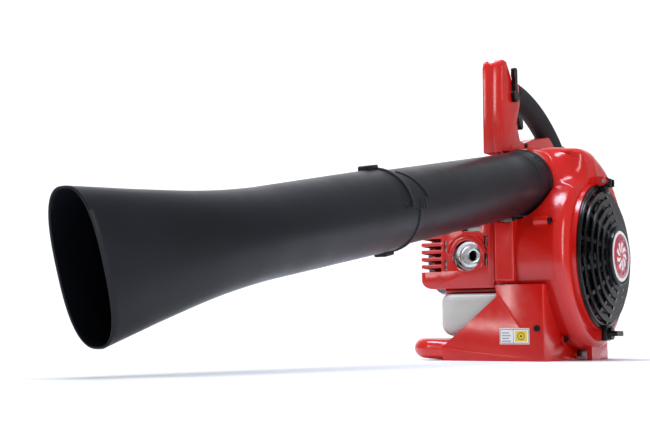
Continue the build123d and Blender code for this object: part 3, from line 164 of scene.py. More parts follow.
def blackSteel():  # black-oxide screw heads, oily and dark
    material, tree, shader, place = startMaterial("Steel, black oxide", "#26262a", Metallic=1.0)
    tree.links.new(blotches(tree, place, 2, 0.3, 0.46, 4), shader.inputs["Roughness"])
    relief(tree, shader, blotches(tree, place, 0.7, 0, 1), 0.02, 0.4)
    return material


def castAluminium():  # pressure die casting: dull grey skin with a fine orange peel
    material, tree, shader, place = startMaterial("Aluminium, die cast", "#a9abad", Metallic=1.0)
    twoTone(tree, shader, blotches(tree, place, 15, 0, 1), "#9b9da0", "#b6b8ba")
    tree.links.new(blotches(tree, place, 5, 0.42, 0.6, 5), shader.inputs["Roughness"])
    relief(tree, shader, blotches(tree, place, 1.6, 0, 1, 4), 0.12, 0.6)
    return material


def pressedSteel():  # aluminised sheet of the silencer: bright, drawn surface with faint heat tint
    material, tree, shader, place = startMaterial("Steel sheet, aluminised", "#d3d4d6", Metallic=1.0)
    twoTone(tree, shader, blotches(tree, place, 22, 0, 1), "#d8d9dc", "#bdb9b4")
    tree.links.new(blotches(tree, place, 4, 0.16, 0.3, 6), shader.inputs["Roughness"])
    relief(tree, shader, blotches(tree, place, 6, 0, 1), 0.1, 0.35)
    return material


def tankPolyethylene():  # blow-moulded natural HDPE: milky, light passes a little way in
    material, tree, shader, place = startMaterial(
        "HDPE natural, blow moulded", "#b9b6af", IOR=1.54,
        **{"Subsurface Weight": 0.35, "Subsurface Scale": 0.006, "Subsurface Radius": (1.0, 0.92, 0.8)})
    twoTone(tree, shader, blotches(tree, place, 40, 0, 1), "#b2afa8", "#c2c0ba")
    tree.links.new(blotches(tree, place, 10, 0.32, 0.46), shader.inputs["Roughness"])
    relief(tree, shader, blotches(tree, place, 5, 0, 1), 0.08, 0.4)
    return material


def filterFoam():  # reticulated polyurethane: dark foam, its sunken pores painted darker still as painted shade
    material, tree, shader, place = startMaterial("Polyurethane foam, open cell", "#2a2a2d", Roughness=0.95)
    cells = addNode(tree, "ShaderNodeTexVoronoi", {"Vector": place, "Scale": 1 / (1.2 * mm)})
    relief(tree, shader, cells.outputs["Distance"], 0.6, 1.0)
    # painted shade: the colour darkens towards each pore's sunken centre, following the bump's depth
    twoTone(tree, shader, cells.outputs["Distance"], "#101012", "#3a3a3e")
    return material


def gasketFibre():  # pressed aramid fibre: mottled grey-brown
    material, tree, shader, place = startMaterial("Aramid fibre gasket", "#5f574c", Roughness=0.9)
    twoTone(tree, shader, blotches(tree, place, 1.5, 0, 1, 6), "#51493f", "#6f675b")
    return material


def glossVinyl():  # domed printed badge and labels: white vinyl under a clear film
    material, tree, shader, place = startMaterial("Vinyl white, gloss film", "#e9e9e6", IOR=1.5,
                                                  **{"Coat Weight": 0.6, "Coat Roughness": 0.08})
    tree.links.new(blotches(tree, place, 8, 0.24, 0.32), shader.inputs["Roughness"])
    relief(tree, shader, blotches(tree, place, 10, 0, 1), 0.03, 0.3)
    return material


def printInk(name, colour):  # screen-printed ink under the same clear film
    material, tree, shader, place = startMaterial(name, colour, IOR=1.5,
                                                  **{"Coat Weight": 0.5, "Coat Roughness": 0.1})
    tree.links.new(blotches(tree, place, 3, 0.28, 0.4), shader.inputs["Roughness"])
    return material


finish = {
    "red_shell": redAbs(), "black_plastic": blackNylon(), "grip_rubber": gripFoam(),
    "screw_steel": zincSteel(), "cast_aluminium": castAluminium(), "muffler_steel": pressedSteel(),
    "tank_plastic": tankPolyethylene(), "filter_foam": filterFoam(), "gasket": gasketFibre(),
    "badge_face": glossVinyl(), "label_face": glossVinyl(), "cable_black": softRubber(),
}
tubeSkin = blackPolypropylene()
darkSteel = blackSteel()
for name, node in nodes.items():
    for slot in node.material_slots:
        slot.material = finish[slot.material.name.split(".")[0]]
for name in ("case_screws", "shell_screws"):
    nodes[name].material_slots[0].material = darkSteel
print("materials made:", len(bpy.data.materials))


def ringSkin(rings, closed=False):  # quads between rings of points; closed joins the last ring to the first
    mesh = bmesh.new()
    rows = [[mesh.verts.new(point) for point in ring] for ring in rings]
    pairs = list(zip(rows, rows[1:] + rows[:1])) if closed else list(zip(rows, rows[1:]))
    for first, second in pairs:
        for k in range(len(first)):
            j = (k + 1) % len(first)
            mesh.faces.new((first[k], first[j], second[j], second[k]))
    if not closed:
        mesh.faces.new(reversed(rows[0]))
        mesh.faces.new(rows[-1])
    bmesh.ops.recalc_face_normals(mesh, faces=mesh.faces)
    return mesh


def makePiece(name, mesh, body, material, replaced=(), sharp=32):
    data = bpy.data.meshes.new(name)
    mesh.to_mesh(data)
    mesh.free()
    data.materials.append(material)
    data.shade_smooth()
    data.set_sharp_from_angle(angle=math.radians(sharp))
    piece = bpy.data.objects.new(name, data)
    bpy.context.scene.collection.objects.link(piece)
    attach(piece, body)
    if replaced:
        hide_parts(*replaced)
    return piece


def roundedBlock(mesh, size, radius, place, segments=3):  # a block with rounded edges, put at place
    made = bmesh.ops.create_cube(mesh, size=1.0)["verts"]
    bmesh.ops.transform(mesh, matrix=Matrix.Diagonal((*size, 1.0)), verts=made)
    edges = list({edge for vert in made for edge in vert.link_edges})
    before = set(mesh.verts) - set(made)
    bmesh.ops.bevel(mesh, geom=edges, offset=radius, segments=segments, affect="EDGES", profile=0.5)
    fresh = [vert for vert in mesh.verts if vert not in before]
    bmesh.ops.transform(mesh, matrix=place, verts=fresh)


# blower tube and nozzle: everything is placed along the tube's own axis
tubeRoot = Vector(joints["tube_twist"]["pos_m"])
tubeAxis = Vector(joints["tube_twist"]["axis"]).normalized()
tubeSide = Vector((1, 0, 0))
tubeRise = Vector((0, tubeAxis.z, -tubeAxis.y))


def tubePoint(station, radius, angle, lean=0.0):  # station and radius in mm; angle from the top towards +X
    rise = tubeRise * math.cos(lean) + tubeAxis * math.sin(lean)
    out = tubeSide * math.sin(angle) + rise * math.cos(angle)
    return tubeRoot + (tubeAxis * station + out * radius) * mm


def surfaceRib(mesh, route, radius, width, height):  # a low rib laid along (station, degrees) points
    points = [tubePoint(s, radius, math.radians(a)) for s, a in route]
    rows = []
    for k, (s, a) in enumerate(route):
        out = (tubePoint(s, radius + 1, math.radians(a)) - points[k]).normalized()
        ahead = (points[min(k + 1, len(points) - 1)] - points[max(k - 1, 0)]).normalized()
        across = out.cross(ahead).normalized() * width / 2 * mm
        low, top = out * -0.5 * mm, out * height * mm
        section = ((-1, low), (-0.75, top * 0.8), (-0.4, top), (0.4, top), (0.75, top * 0.8), (1, low))
        rows.append([points[k] + across * share + lift for share, lift in section])
    verts = [[mesh.verts.new(p) for p in row] for row in rows]
    for first, second in zip(verts, verts[1:]):
        for k in range(6):
            mesh.faces.new((first[k], first[(k + 1) % 6], second[(k + 1) % 6], second[k]))
    mesh.faces.new(verts[0][::-1])
    mesh.faces.new(verts[-1])


nozzleShape = {
    "rim": 328.0, "step": 14.0, "stepAngle": 90.0, "rimRadius": 39.9, "barrelRadius": 38.6, "waist": 528.0,
    "waistRadius": 36.8, "mouth": 728.0, "wall": 2.0, "lean": math.radians(8), "around": 144,
    "flare": [(0.0, 36.8, 36.8), (0.33, 33.5, 39.0), (0.66, 27.5, 45.5), (1.0, 21.5, 54.0)],
    "lip": [(0.0, -1.5), (0.5, -0.3), (1.3, 0.0), (4.6, 0.0), (5.4, -0.3), (5.8, -1.25)],
    "barrelFrom": 22, "boreFrom": 74, "boreRim": 36.4, "squareness": 0.24,
    "lugLength": 17.0, "lugWidth": 13.0, "lugHeight": 6.5,
}


def flareSize(share):  # half width and half height, a smooth curve through the flare's four sections
    rows = nozzleShape["flare"]
    k = min(int(share * 3 / 1.0001), 2)
    t = (share - rows[k][0]) / (rows[k + 1][0] - rows[k][0])
    sizes = []
    for axis in (1, 2):
        before = rows[max(k - 1, 0)][axis]
        p, q = rows[k][axis], rows[k + 1][axis]
        after = rows[min(k + 2, 3)][axis] if k < 2 else 2 * q - p
        m0, m1 = (q - before) / 2 if k else 0.0, (after - p) / 2
        sizes.append((2 * t ** 3 - 3 * t ** 2 + 1) * p + (t ** 3 - 2 * t ** 2 + t) * m0
                     + (3 * t ** 2 - 2 * t ** 3) * q + (t ** 3 - t ** 2) * m1)
    return sizes


def ovalRing(station, halfWide, halfHigh, lean, square=1.0, shift=None):
    count = nozzleShape["around"]
    ring = []
    for k in range(count):
        a = 2 * math.pi * k / count
        wide = math.copysign(abs(math.sin(a)) ** square, math.sin(a)) * halfWide
        high = math.copysign(abs(math.cos(a)) ** square, math.cos(a)) * halfHigh
        s = station + (shift(math.degrees(a)) if shift else 0.0)
        ring.append(tubePoint(s, math.hypot(wide, high), math.atan2(wide, high), lean))
    return ring


def rimShift(angle):  # the upper half of the rim stands a step further forward than the lower half
    fromTop = abs((angle + 180) % 360 - 180)
    t = min(max((nozzleShape["stepAngle"] + 3 - fromTop) / 6, 0), 1)
    return nozzleShape["step"] * t * t * (3 - 2 * t)


def nozzleRings(skin):  # the outside for skin 0, the bore for skin = wall, from the rim to the mouth
    n = nozzleShape
    rings = []
    if not skin:
        for s, r in n["lip"]:
            radius = n["rimRadius"] + r
            rings.append(ovalRing(n["rim"] + s, radius, radius, 0, shift=rimShift))
        start, steps = n["barrelFrom"], 14
    else:
        rings.append(ovalRing(n["rim"], n["boreRim"], n["boreRim"], 0, shift=rimShift))
        start, steps = n["boreFrom"], 12
    for k in range(steps + 1):
        s = n["rim"] + start + k * (n["waist"] - n["rim"] - start) / steps
        share = (s - n["rim"]) / (n["waist"] - n["rim"])
        r = n["barrelRadius"] + (n["waistRadius"] - n["barrelRadius"]) * share - skin
        rings.append(ovalRing(s, r, r, 0))
    for k in range(1, 41):
        share = k / 40
        wide, high = flareSize(share)
        lean = n["lean"] * max(share - 0.33, 0) / 0.67
        square = 1.0 - n["squareness"] * share ** 1.5
        station = n["waist"] + (n["mouth"] - n["waist"]) * share
        rings.append(ovalRing(station, wide - skin, high - skin, lean, square))
    return rings


def twistRib(mesh, station, angle, reach, radius, width, height):  # a rib that crosses the tube's line
    surfaceRib(mesh, [(station, angle - reach), (station, angle + reach)], radius, width, height)


def makeNozzle():
    n = nozzleShape
    outside, bore = nozzleRings(0.0), nozzleRings(n["wall"])
    edge = [[outside[-1][k].lerp(bore[-1][k], share) + tubeAxis * 0.7 * mm for k in range(n["around"])]
            for share in (0.3, 0.7)]
    mesh = ringSkin(outside + edge + bore[::-1], closed=True)
    turn = Matrix((tubeSide, tubeAxis, tubeRise)).transposed().to_4x4()
    size = (n["lugWidth"] * mm, n["lugLength"] * mm, n["lugHeight"] * mm)
    for angle, station in ((0, n["rim"] + n["step"]), (180, n["rim"])):  # bayonet lugs, top and bottom
        middle = station + 1 + n["lugLength"] / 2
        centre = tubePoint(middle, n["barrelRadius"] + 0.4, math.radians(angle))
        roundedBlock(mesh, size, 1.6 * mm, Matrix.Translation(centre) @ turn)
    for angle in (84, -84):  # small raised arrow beside the step, where the twist lock is
        tip, back = n["rim"] + 30, n["rim"] + 25
        arrow = [(back, angle - 4), (tip, angle), (back, angle + 4)]
        surfaceRib(mesh, arrow, n["barrelRadius"], 1.3, 0.7)
        twistRib(mesh, n["rim"] + 20, angle, 3, n["barrelRadius"], 1.3, 0.7)
    makePiece("nozzleShell", mesh, "nozzle_body", tubeSkin, ["nozzle"], sharp=40)


tubeShape = {"collar": 34.0, "collarRadius": 38.5, "radius": 36.0, "end": 400.0, "wall": 2.4,
             "ramps": (20, 200), "stops": (86, 266), "tallies": (40, 43, 49, 220, 223, 229)}


def makeTube():
    t = tubeShape
    collar, radius, bore = t["collarRadius"], t["radius"], t["radius"] - t["wall"]
    profile = [(0.0, bore), (0.0, collar - 0.8), (0.8, collar), (5.0, collar - 0.1), (5.6, collar - 0.9),
               (12.0, collar - 1.1), (t["collar"] - 3, collar - 1.6), (t["collar"], radius + 0.35),
               (t["collar"] + 1.5, radius), (t["end"] - 1, radius), (t["end"], radius - 1), (t["end"], bore)]
    rings = []
    for (s0, r0), (s1, r1) in zip(profile, profile[1:] + profile[:1]):
        steps = 14 if abs(s1 - s0) > 100 else 1
        for k in range(steps):
            half = r0 + (r1 - r0) * k / steps
            rings.append(ovalRing(s0 + (s1 - s0) * k / steps, half, half, 0))
    mesh = ringSkin(rings, closed=True)
    for start in t["ramps"]:  # curved ramps that guide the nozzle's lugs
        ramp = [(nozzleShape["rim"] - 4 - 0.28 * a, start + a) for a in range(0, 60, 3)]
        surfaceRib(mesh, ramp, radius, 1.6, 0.9)
    for angle in t["stops"]:  # stop blocks of the bayonet
        for k in range(3):
            twistRib(mesh, nozzleShape["rim"] - 13 + 4.5 * k, angle, 7, radius, 4.6, 0.9)
    for angle in t["tallies"]:  # tally marks on the collar
        surfaceRib(mesh, [(10, angle), (15, angle)], collar - 1.1, 1.2, 0.6)
    makePiece("tubeShell", mesh, "tube", tubeSkin, ["blower_tube"], sharp=40)


makeNozzle()
makeTube()
print("tube and nozzle made")


def turned(mesh, profile, centre, axis, count=48):  # profile: (mm along the axis, radius mm), end to end
    along = Vector(axis).normalized()
    first = along.orthogonal().normalized()
    second = along.cross(first)
    rows = []
    for s, r in profile:
        row = []
        for k in range(count):
            a = 2 * math.pi * k / count
            out = first * math.cos(a) + second * math.sin(a)
            row.append(mesh.verts.new(Vector(centre) + (along * s + out * max(r, 0.02)) * mm))
        rows.append(row)
    for low, top in zip(rows, rows[1:]):
        for k in range(count):
            j = (k + 1) % count
            mesh.faces.new((low[k], low[j], top[j], top[k]))
    if profile[0] != profile[-1]:
        mesh.faces.new(rows[0][::-1])
        mesh.faces.new(rows[-1])
    else:
        bmesh.ops.remove_doubles(mesh, verts=rows[0] + rows[-1], dist=1e-7)


def finishedMesh(mesh):  # faces outward, once the parts of a piece are together
    bmesh.ops.recalc_face_normals(mesh, faces=mesh.faces)
    return mesh


def bakeNodes(mesh, tree, values):  # runs a geometry tree on a mesh and gives back plain geometry
    source = bpy.data.objects.new("source", mesh)
    bpy.context.scene.collection.objects.link(source)
    modifier = source.modifiers.new("build", "NODES")
    modifier.node_group = tree
    for item in tree.interface.items_tree:
        if item.item_type == "SOCKET" and item.in_out == "INPUT" and item.name in values:
            modifier[item.identifier] = values[item.name]
    made = bpy.data.meshes.new_from_object(source.evaluated_get(bpy.context.evaluated_depsgraph_get()))
    bpy.data.objects.remove(source)
    result = bmesh.new()
    result.from_mesh(made)
    return result


def startTree(name, inputs):  # gives a geometry tree with named inputs, its input node and its output node
    tree = bpy.data.node_groups.new(name, "GeometryNodeTree")
    tree.interface.new_socket("Geometry", in_out="INPUT", socket_type="NodeSocketGeometry")
    tree.interface.new_socket("Geometry", in_out="OUTPUT", socket_type="NodeSocketGeometry")
    for socketName, kind in inputs:
        tree.interface.new_socket(socketName, in_out="INPUT", socket_type=kind)
    return tree, tree.nodes.new("NodeGroupInput"), tree.nodes.new("NodeGroupOutput")


# inlet grille: louvre rings stepped up a dome, crossed by thin ribs
shaftZ = joints["fan_spin"]["pos_m"][2]
grilleShape = {
    "ribCount": 14, "ribWidth": 1.8, "ribDepth": 5.0, "ringThickness": 1.9, "ringDepth": 9.0,
    "dome": [(79.5, 51.0), (71, 56.4), (62, 60.6), (53, 63.8), (44, 66.4), (35, 68.6)], "hub": (30.0, 70.6),
    "frameRadius": 81.3, "frameBack": 45.8, "sink": 2.6,
}


def domeTree():
    tree, given, out = startTree("louvredDome", [
        ("Rib Count", "NodeSocketInt"), ("Rib Width", "NodeSocketFloat"), ("Rib Depth", "NodeSocketFloat"),
        ("Ring Thickness", "NodeSocketFloat"), ("Ring Depth", "NodeSocketFloat"),
        ("Axis Height", "NodeSocketFloat"), ("Material", "NodeSocketMaterial")])
    g = given.outputs
    line = addNode(tree, "GeometryNodeMeshToCurve", {"Mesh": g["Geometry"]}).outputs[0]
    ribSection = addNode(tree, "GeometryNodeCurvePrimitiveQuadrilateral",
                         {"Width": g["Rib Depth"], "Height": g["Rib Width"]}).outputs[0]
    rib = addNode(tree, "GeometryNodeCurveToMesh", {"Curve": line, "Profile Curve": ribSection,
                                                    "Fill Caps": True})
    index = addNode(tree, "GeometryNodeInputIndex").outputs[0]
    share = addNode(tree, "ShaderNodeMath", {0: index, 1: g["Rib Count"]}, operation="DIVIDE").outputs[0]
    angle = addNode(tree, "ShaderNodeMath", {0: share, 1: 2 * math.pi}, operation="MULTIPLY").outputs[0]
    turn = addNode(tree, "ShaderNodeCombineXYZ", {"X": angle}).outputs[0]
    seats = addNode(tree, "GeometryNodePoints", {"Count": g["Rib Count"]}).outputs[0]
    ribs = addNode(tree, "GeometryNodeInstanceOnPoints", {"Points": seats, "Instance": rib.outputs[0],
                                                          "Rotation": turn}).outputs[0]
    spot = addNode(tree, "GeometryNodeInputPosition").outputs[0]
    radius = addNode(tree, "ShaderNodeSeparateXYZ", {0: spot}).outputs["Z"]
    circle = addNode(tree, "GeometryNodeCurvePrimitiveCircle", {"Resolution": 96, "Radius": 1.0}).outputs[0]
    upright = addNode(tree, "GeometryNodeTransform", {"Geometry": circle,
                                                      "Rotation": (0, math.pi / 2, 0)}).outputs[0]
    hoops = addNode(tree, "GeometryNodeInstanceOnPoints", {"Points": g["Geometry"], "Instance": upright,
                                                           "Scale": radius}).outputs[0]
    down = addNode(tree, "ShaderNodeMath", {0: radius, 1: -1.0}, operation="MULTIPLY").outputs[0]
    centred = addNode(tree, "GeometryNodeTranslateInstances", {
        "Instances": hoops, "Translation": addNode(tree, "ShaderNodeCombineXYZ", {"Z": down}).outputs[0],
        "Local Space": False}).outputs[0]
    hoopLines = addNode(tree, "GeometryNodeRealizeInstances", {"Geometry": centred}).outputs[0]
    ringSection = addNode(tree, "GeometryNodeCurvePrimitiveQuadrilateral",
                          {"Width": g["Ring Thickness"], "Height": g["Ring Depth"]}).outputs[0]
    rings = addNode(tree, "GeometryNodeCurveToMesh", {"Curve": hoopLines,
                                                      "Profile Curve": ringSection}).outputs[0]
    both = tree.nodes.new("GeometryNodeJoinGeometry")
    tree.links.new(ribs, both.inputs[0])
    tree.links.new(rings, both.inputs[0])
    lifted = addNode(tree, "GeometryNodeTransform", {
        "Geometry": both.outputs[0],
        "Translation": addNode(tree, "ShaderNodeCombineXYZ", {"Z": g["Axis Height"]}).outputs[0]}).outputs[0]
    plain = addNode(tree, "GeometryNodeRealizeInstances", {"Geometry": lifted}).outputs[0]
    painted = addNode(tree, "GeometryNodeSetMaterial", {"Geometry": plain,
                                                        "Material": g["Material"]}).outputs[0]
    tree.links.new(painted, out.inputs[0])
    return tree


def makeGrille():
    g = grilleShape
    path = bpy.data.meshes.new("domeLine")
    stops = g["dome"] + [g["hub"]]
    links = [(k, k + 1) for k in range(len(stops) - 1)]
    path.from_pydata([((x - g["sink"]) * mm, 0, r * mm) for r, x in stops], links, [])
    mesh = bakeNodes(path, domeTree(), {
        "Rib Count": g["ribCount"], "Rib Width": g["ribWidth"] * mm, "Rib Depth": g["ribDepth"] * mm,
        "Ring Thickness": g["ringThickness"] * mm, "Ring Depth": g["ringDepth"] * mm, "Axis Height": shaftZ,
        "Material": finish["black_plastic"]})
    back, r = g["frameBack"], g["frameRadius"]
    centre = (0, 0, shaftZ)
    turned(mesh, [(back, r - 4), (back, r), (back + 3.6, r), (back + 4.6, r - 0.6), (back + 5.2, r - 2),
                  (back + 5.2, r - 3), (back + 4.4, r - 4), (back, r - 4)], centre, (1, 0, 0), 120)
    hubR, hubX = g["hub"]
    turned(mesh, [(hubX - 9, hubR + 1.5), (hubX - 2, hubR + 4.2), (hubX - 0.4, hubR + 3.6),
                  (hubX, hubR + 2.2), (hubX - 0.2, hubR + 0.6), (hubX - 1.6, hubR), (hubX - 1.8, 0)],
           centre, (1, 0, 0), 96)
    hinge = Vector(joints["grille_hinge"]["pos_m"])
    turned(mesh, [(-7.7, 2.6), (-7.7, 4.6), (-7.2, 5.0), (7.2, 5.0), (7.7, 4.6), (7.7, 2.6), (-7.7, 2.6)],
           hinge, (0, 1, 0), 40)
    for size, off, soft in (((11, 13, 12), (-4.5, 0, -7.5), 1.5), ((7, 3, 9), (3.0, -5.0, -1.5), 1.0),
                            ((7, 3, 9), (3.0, 5.0, -1.5), 1.0)):
        roundedBlock(mesh, [v * mm for v in size], soft * mm, Matrix.Translation(hinge + Vector(off) * mm))
    latch = Vector((0, 0, joints["latch_turn"]["pos_m"][2]))
    for size, place in (((7, 3.2, 17), (50.8, -6.6, 1)), ((7, 3.2, 17), (50.8, 6.6, 1)),
                        ((6.4, 16, 4.0), (50.6, 0, 7.5)), ((5.4, 16, 3.6), (50.2, 0, -6.4))):  # latch frame
        roundedBlock(mesh, [v * mm for v in size], 1.2 * mm, Matrix.Translation(latch + Vector(place) * mm))
    makePiece("grilleLouvres", finishedMesh(mesh), "grille", finish["black_plastic"],
              ["inlet_grille"])


makeGrille()

badgeShape = {"petals": 9, "rim": 29.2, "field": 25.6, "face": 70.4,
              "rings": [("badgeRosette", 16.5, 4.5, "white"), ("badgeRosetteTips", 22.0, 18.6, "blue")]}


def makeBadge():  # white-rimmed disc with a plain fan rosette
    b = badgeShape
    centre = (0, 0, shaftZ)
    x = b["face"]
    rim = bmesh.new()
    turned(rim, [(x - 1.2, 0), (x - 1.2, b["rim"]), (x - 0.2, b["rim"]), (x + 0.25, b["rim"] - 0.7),
                 (x + 0.25, b["field"] + 0.5), (x, b["field"]), (x, 0)], centre, (1, 0, 0), 96)
    makePiece("badgeRim", finishedMesh(rim), "grille", finish["badge_face"], ["badge"])
    field = bmesh.new()
    turned(field, [(x, 0), (x, b["field"]), (x + 0.12, b["field"] - 0.2), (x + 0.3, 0)],
           centre, (1, 0, 0), 96)
    makePiece("badgeField", finishedMesh(field), "grille", inks["red"])
    for name, out, inn, ink in b["rings"]:
        petals = bmesh.new()
        for k in range(b["petals"]):
            a = 2 * math.pi * k / b["petals"]
            corners = [(inn, a - 0.1), ((inn + out) / 2, a - 0.16), (out, a + 0.08), (out - 0.8, a + 0.42),
                       ((inn + out) / 2, a + 0.22), (inn, a + 0.14)]
            top = [petals.verts.new((x * mm + 0.42 * mm, r * math.sin(t) * mm, shaftZ + r * math.cos(t) * mm))
                   for r, t in corners]
            low = [petals.verts.new((v.co.x - 0.3 * mm, v.co.y, v.co.z)) for v in top]
            petals.faces.new(top)
            petals.faces.new(low[::-1])
            for i in range(len(top)):
                j = (i + 1) % len(top)
                petals.faces.new((top[i], low[i], low[j], top[j]))
        makePiece(name, finishedMesh(petals), "grille", inks[ink])


inks = {"red": printInk("Screen ink, red", "#c2202a"), "blue": printInk("Screen ink, navy", "#2b3a78"),
        "white": printInk("Screen ink, white", "#ececea"), "black": printInk("Screen ink, black", "#1a1a1c"),
        "yellow": printInk("Screen ink, yellow", "#e6c81e"), "grey": printInk("Screen ink, grey", "#8f9499")}
makeBadge()


def makeLabel():  # a plain rating-plate sticker: framed fields, blank bars and a dial mark, no wording
    low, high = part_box("label")
    depth = 0.12 * mm
    back = bmesh.new()
    size = Vector((high.x - low.x, high.y - low.y, high.z - low.z))
    roundedBlock(back, size, 0.15 * mm, Matrix.Translation((low + high) / 2), 1)
    makePiece("labelSticker", back, "housing", finish["label_face"], ["label"])
    marks = {"black": [(0.02, 0.05, 0.96, 0.035), (0.02, 0.915, 0.96, 0.035), (0.02, 0.05, 0.012, 0.9),
                       (0.968, 0.05, 0.012, 0.9), (0.46, 0.05, 0.012, 0.9)],
             "grey": [(0.08, 0.16 + 0.17 * k, 0.3 - 0.05 * (k % 2), 0.07) for k in range(4)],
             "yellow": [(0.53, 0.17, 0.39, 0.66)]}
    for ink, rows in marks.items():
        mesh = bmesh.new()
        for x, z, wide, tall in rows:
            block = (wide * size.x, depth, tall * size.z)
            centre = (low.x + x * size.x + block[0] / 2, low.y - depth / 4, low.z + z * size.z + block[2] / 2)
            roundedBlock(mesh, block, 0.03 * mm, Matrix.Translation(centre), 1)
        makePiece("label" + ink.capitalize(), mesh, "housing", inks[ink])
    dial = bmesh.new()
    spot = Vector((low.x + 0.725 * size.x, low.y - depth * 0.6, low.z + 0.5 * size.z))
    turned(dial, [(-0.06, 3.4), (-0.06, 4.2), (0.06, 4.2), (0.06, 3.4), (-0.06, 3.4)], spot, (0, -1, 0), 40)
    turned(dial, [(-0.06, 0), (-0.06, 1.3), (0.06, 1.3), (0.06, 0)], spot, (0, -1, 0), 24)
    makePiece("labelDial", finishedMesh(dial), "housing", inks["black"])


makeLabel()
print("grille, badge and label made")


# mouldings that keep their measured shape, with their sharp edges rounded as in a real tool:
# an edge whose rounding would throw a corner off the skin is left as it is
def roundedCopy(node, widthMm, limit, left):  # left holds the places whose edges stay as they are
    mesh = bmesh.new()
    mesh.from_mesh(nodes[node].data)
    bmesh.ops.remove_doubles(mesh, verts=mesh.verts, dist=2e-6)
    skin = BVHTree.FromBMesh(mesh)
    bmesh.ops.dissolve_limit(mesh, angle_limit=math.radians(0.4), verts=mesh.verts, edges=mesh.edges)
    sharp = [e for e in mesh.edges if len(e.link_faces) == 2 and e.calc_face_angle(0) > math.radians(limit)
             and e.calc_length() > widthMm * 0.8 * mm
             and all((vert.co - place).length > 2 * widthMm * mm for place in left for vert in e.verts)]
    bmesh.ops.bevel(mesh, geom=sharp, offset=widthMm * mm, segments=2, profile=0.5, affect="EDGES",
                    clamp_overlap=False, miter_outer="ARC")
    spikes = {vert for vert in mesh.verts if skin.find_nearest(vert.co)[3] > widthMm * 0.6 * mm}
    roots = [e.other_vert(vert).co.copy() for vert in spikes for e in vert.link_edges
             if e.other_vert(vert) not in spikes]
    return mesh, len(spikes), roots


def softenedPiece(node, name, slotName, widthMm, limit=38):
    left = []
    for attempt in range(8):
        mesh, spikes, roots = roundedCopy(node, widthMm, limit, left)
        if not spikes:
            break
        left += roots
        mesh.free()
    else:
        print(name, "stays with its sharp edges")
        return
    print(name, "edges left sharp near", len(left), "places")
    makePiece(name, mesh, nodes[node]["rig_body"], finish[slotName], [node], limit)


mouldings = {  # node: its piece and the width of its rounded edges in mm
    "base_stand": ("standMoulding", 0.8), "cooling_duct": ("ductMoulding", 0.8),
    "handle_left": ("handleShellLeft", 0.7), "handle_right": ("handleShellRight", 0.7),
    "engine_cover": ("coverMoulding", 0.5),
}
for node, (name, width) in mouldings.items():
    softenedPiece(node, name, "red_shell", width)
print("mouldings made")


# shoulder of the fan case: one moulded skin that runs from the round outlet into the scroll
shoulderShape = {
    "outlet": -0.7, "outletRadius": 38.8, "archTop": 240.3, "archCentre": (-3, 122), "archRadius": 118.3,
    "drumCentre": (-3, 116), "drumRadius": 100.2, "lip": -40, "right": 42.2, "left": -16.3, "edge": 16,
    "swell": 5.0, "swellCentre": -14, "swellReach": 30, "blend": 15, "far": 66,
    "lowAngle": -34, "highAngle": 128, "ductX": -24.6, "ductZ": 204.3, "ductDrift": 30,
    "ductTilt": 0.3, "driftFrom": -58, "driftReach": 50,
    "rows": 64, "columns": 72, "longest": 82.0, "wall": 3, "spineX": 8, "spineDrop": 24,
    "faceTilt": 0.1884, "fadeReach": 16, "fadeDepth": 3.2, "fadeRate": 110,
}


def smoothMin(a, b, width):
    share = max(width - abs(a - b), 0) / width
    return min(a, b) - share * share * width / 4


def shoulderField(x, y, z):  # distance from the blended outside of scroll, drum and outlet, in millimetres
    h = shoulderShape
    arch = math.hypot(y - h["archCentre"][0], z - h["archCentre"][1]) - h["archRadius"]
    if y <= h["archCentre"][0]:
        arch = z - h["archTop"]
    arch -= h["swell"] * math.exp(-((y - h["swellCentre"]) / h["swellReach"]) ** 2)
    box = -smoothMin(-arch, y - h["lip"], h["blend"])
    drum = math.hypot(y - h["drumCentre"][0], z - h["drumCentre"][1]) - h["drumRadius"]
    side = (smoothMin(box, drum, h["blend"]) + h["edge"], x - h["right"] + h["edge"])
    case = min(max(side), 0) + math.hypot(max(side[0], 0), max(side[1], 0)) - h["edge"]
    case = max(case, h["left"] - x)
    share = min(max((y - h["driftFrom"]) / h["driftReach"], 0), 1)
    off = math.hypot(x - h["ductX"] - h["ductDrift"] * share, z - h["ductZ"])
    duct = off * math.cos(h["ductTilt"]) - h["outletRadius"] + 2.0 * share
    return smoothMin(case, duct, h["blend"]) if y < 0 else case


def makeShoulder():
    h = shoulderShape
    outer, inner = [], []
    root = tubePoint(h["outlet"], 0, 0) / mm
    for k in range(h["rows"]):
        share = k / (h["rows"] - 1)
        y = root.y + (h["far"] - root.y) * share
        turn = min(share / 0.35, 1)
        turn = turn * turn * (3 - 2 * turn)
        spine = Vector((root.x + (h["spineX"] - root.x) * turn, y, root.z - h["spineDrop"] * share * share))
        row = []
        for i in range(h["columns"]):
            angle = h["lowAngle"] + (h["highAngle"] - h["lowAngle"]) * i / (h["columns"] - 1)
            a = math.radians(angle)
            tilt = h["faceTilt"] * math.cos(a) * (1 - turn)
            away = Vector((math.sin(a), tilt, math.cos(a))).normalized()
            edge = min(angle - h["lowAngle"], h["highAngle"] - angle, (1 - share) * h["fadeRate"])
            sink = h["fadeDepth"] * max(1 - edge / h["fadeReach"], 0)  # the rims dip into the case
            reach = h["outletRadius"] if k == 0 else h["longest"]
            for attempt in range(40 if k else 0):  # walk in from outside until the skin is met
                gap = shoulderField(*(spine + away * reach)) + sink
                if gap < 0.02:
                    break
                reach -= max(gap * 0.7, 0.05)
            row.append((spine + away * reach, spine + away * (reach - h["wall"])))
        outer.append([pair[0] * mm for pair in row])
        inner.append([pair[1] * mm for pair in row])
    mesh = ringSkin([a + b[::-1] for a, b in zip(outer, inner)])
    makePiece("caseShoulder", mesh, "housing", finish["red_shell"], (), 50)


makeShoulder()
print("case shoulder made")


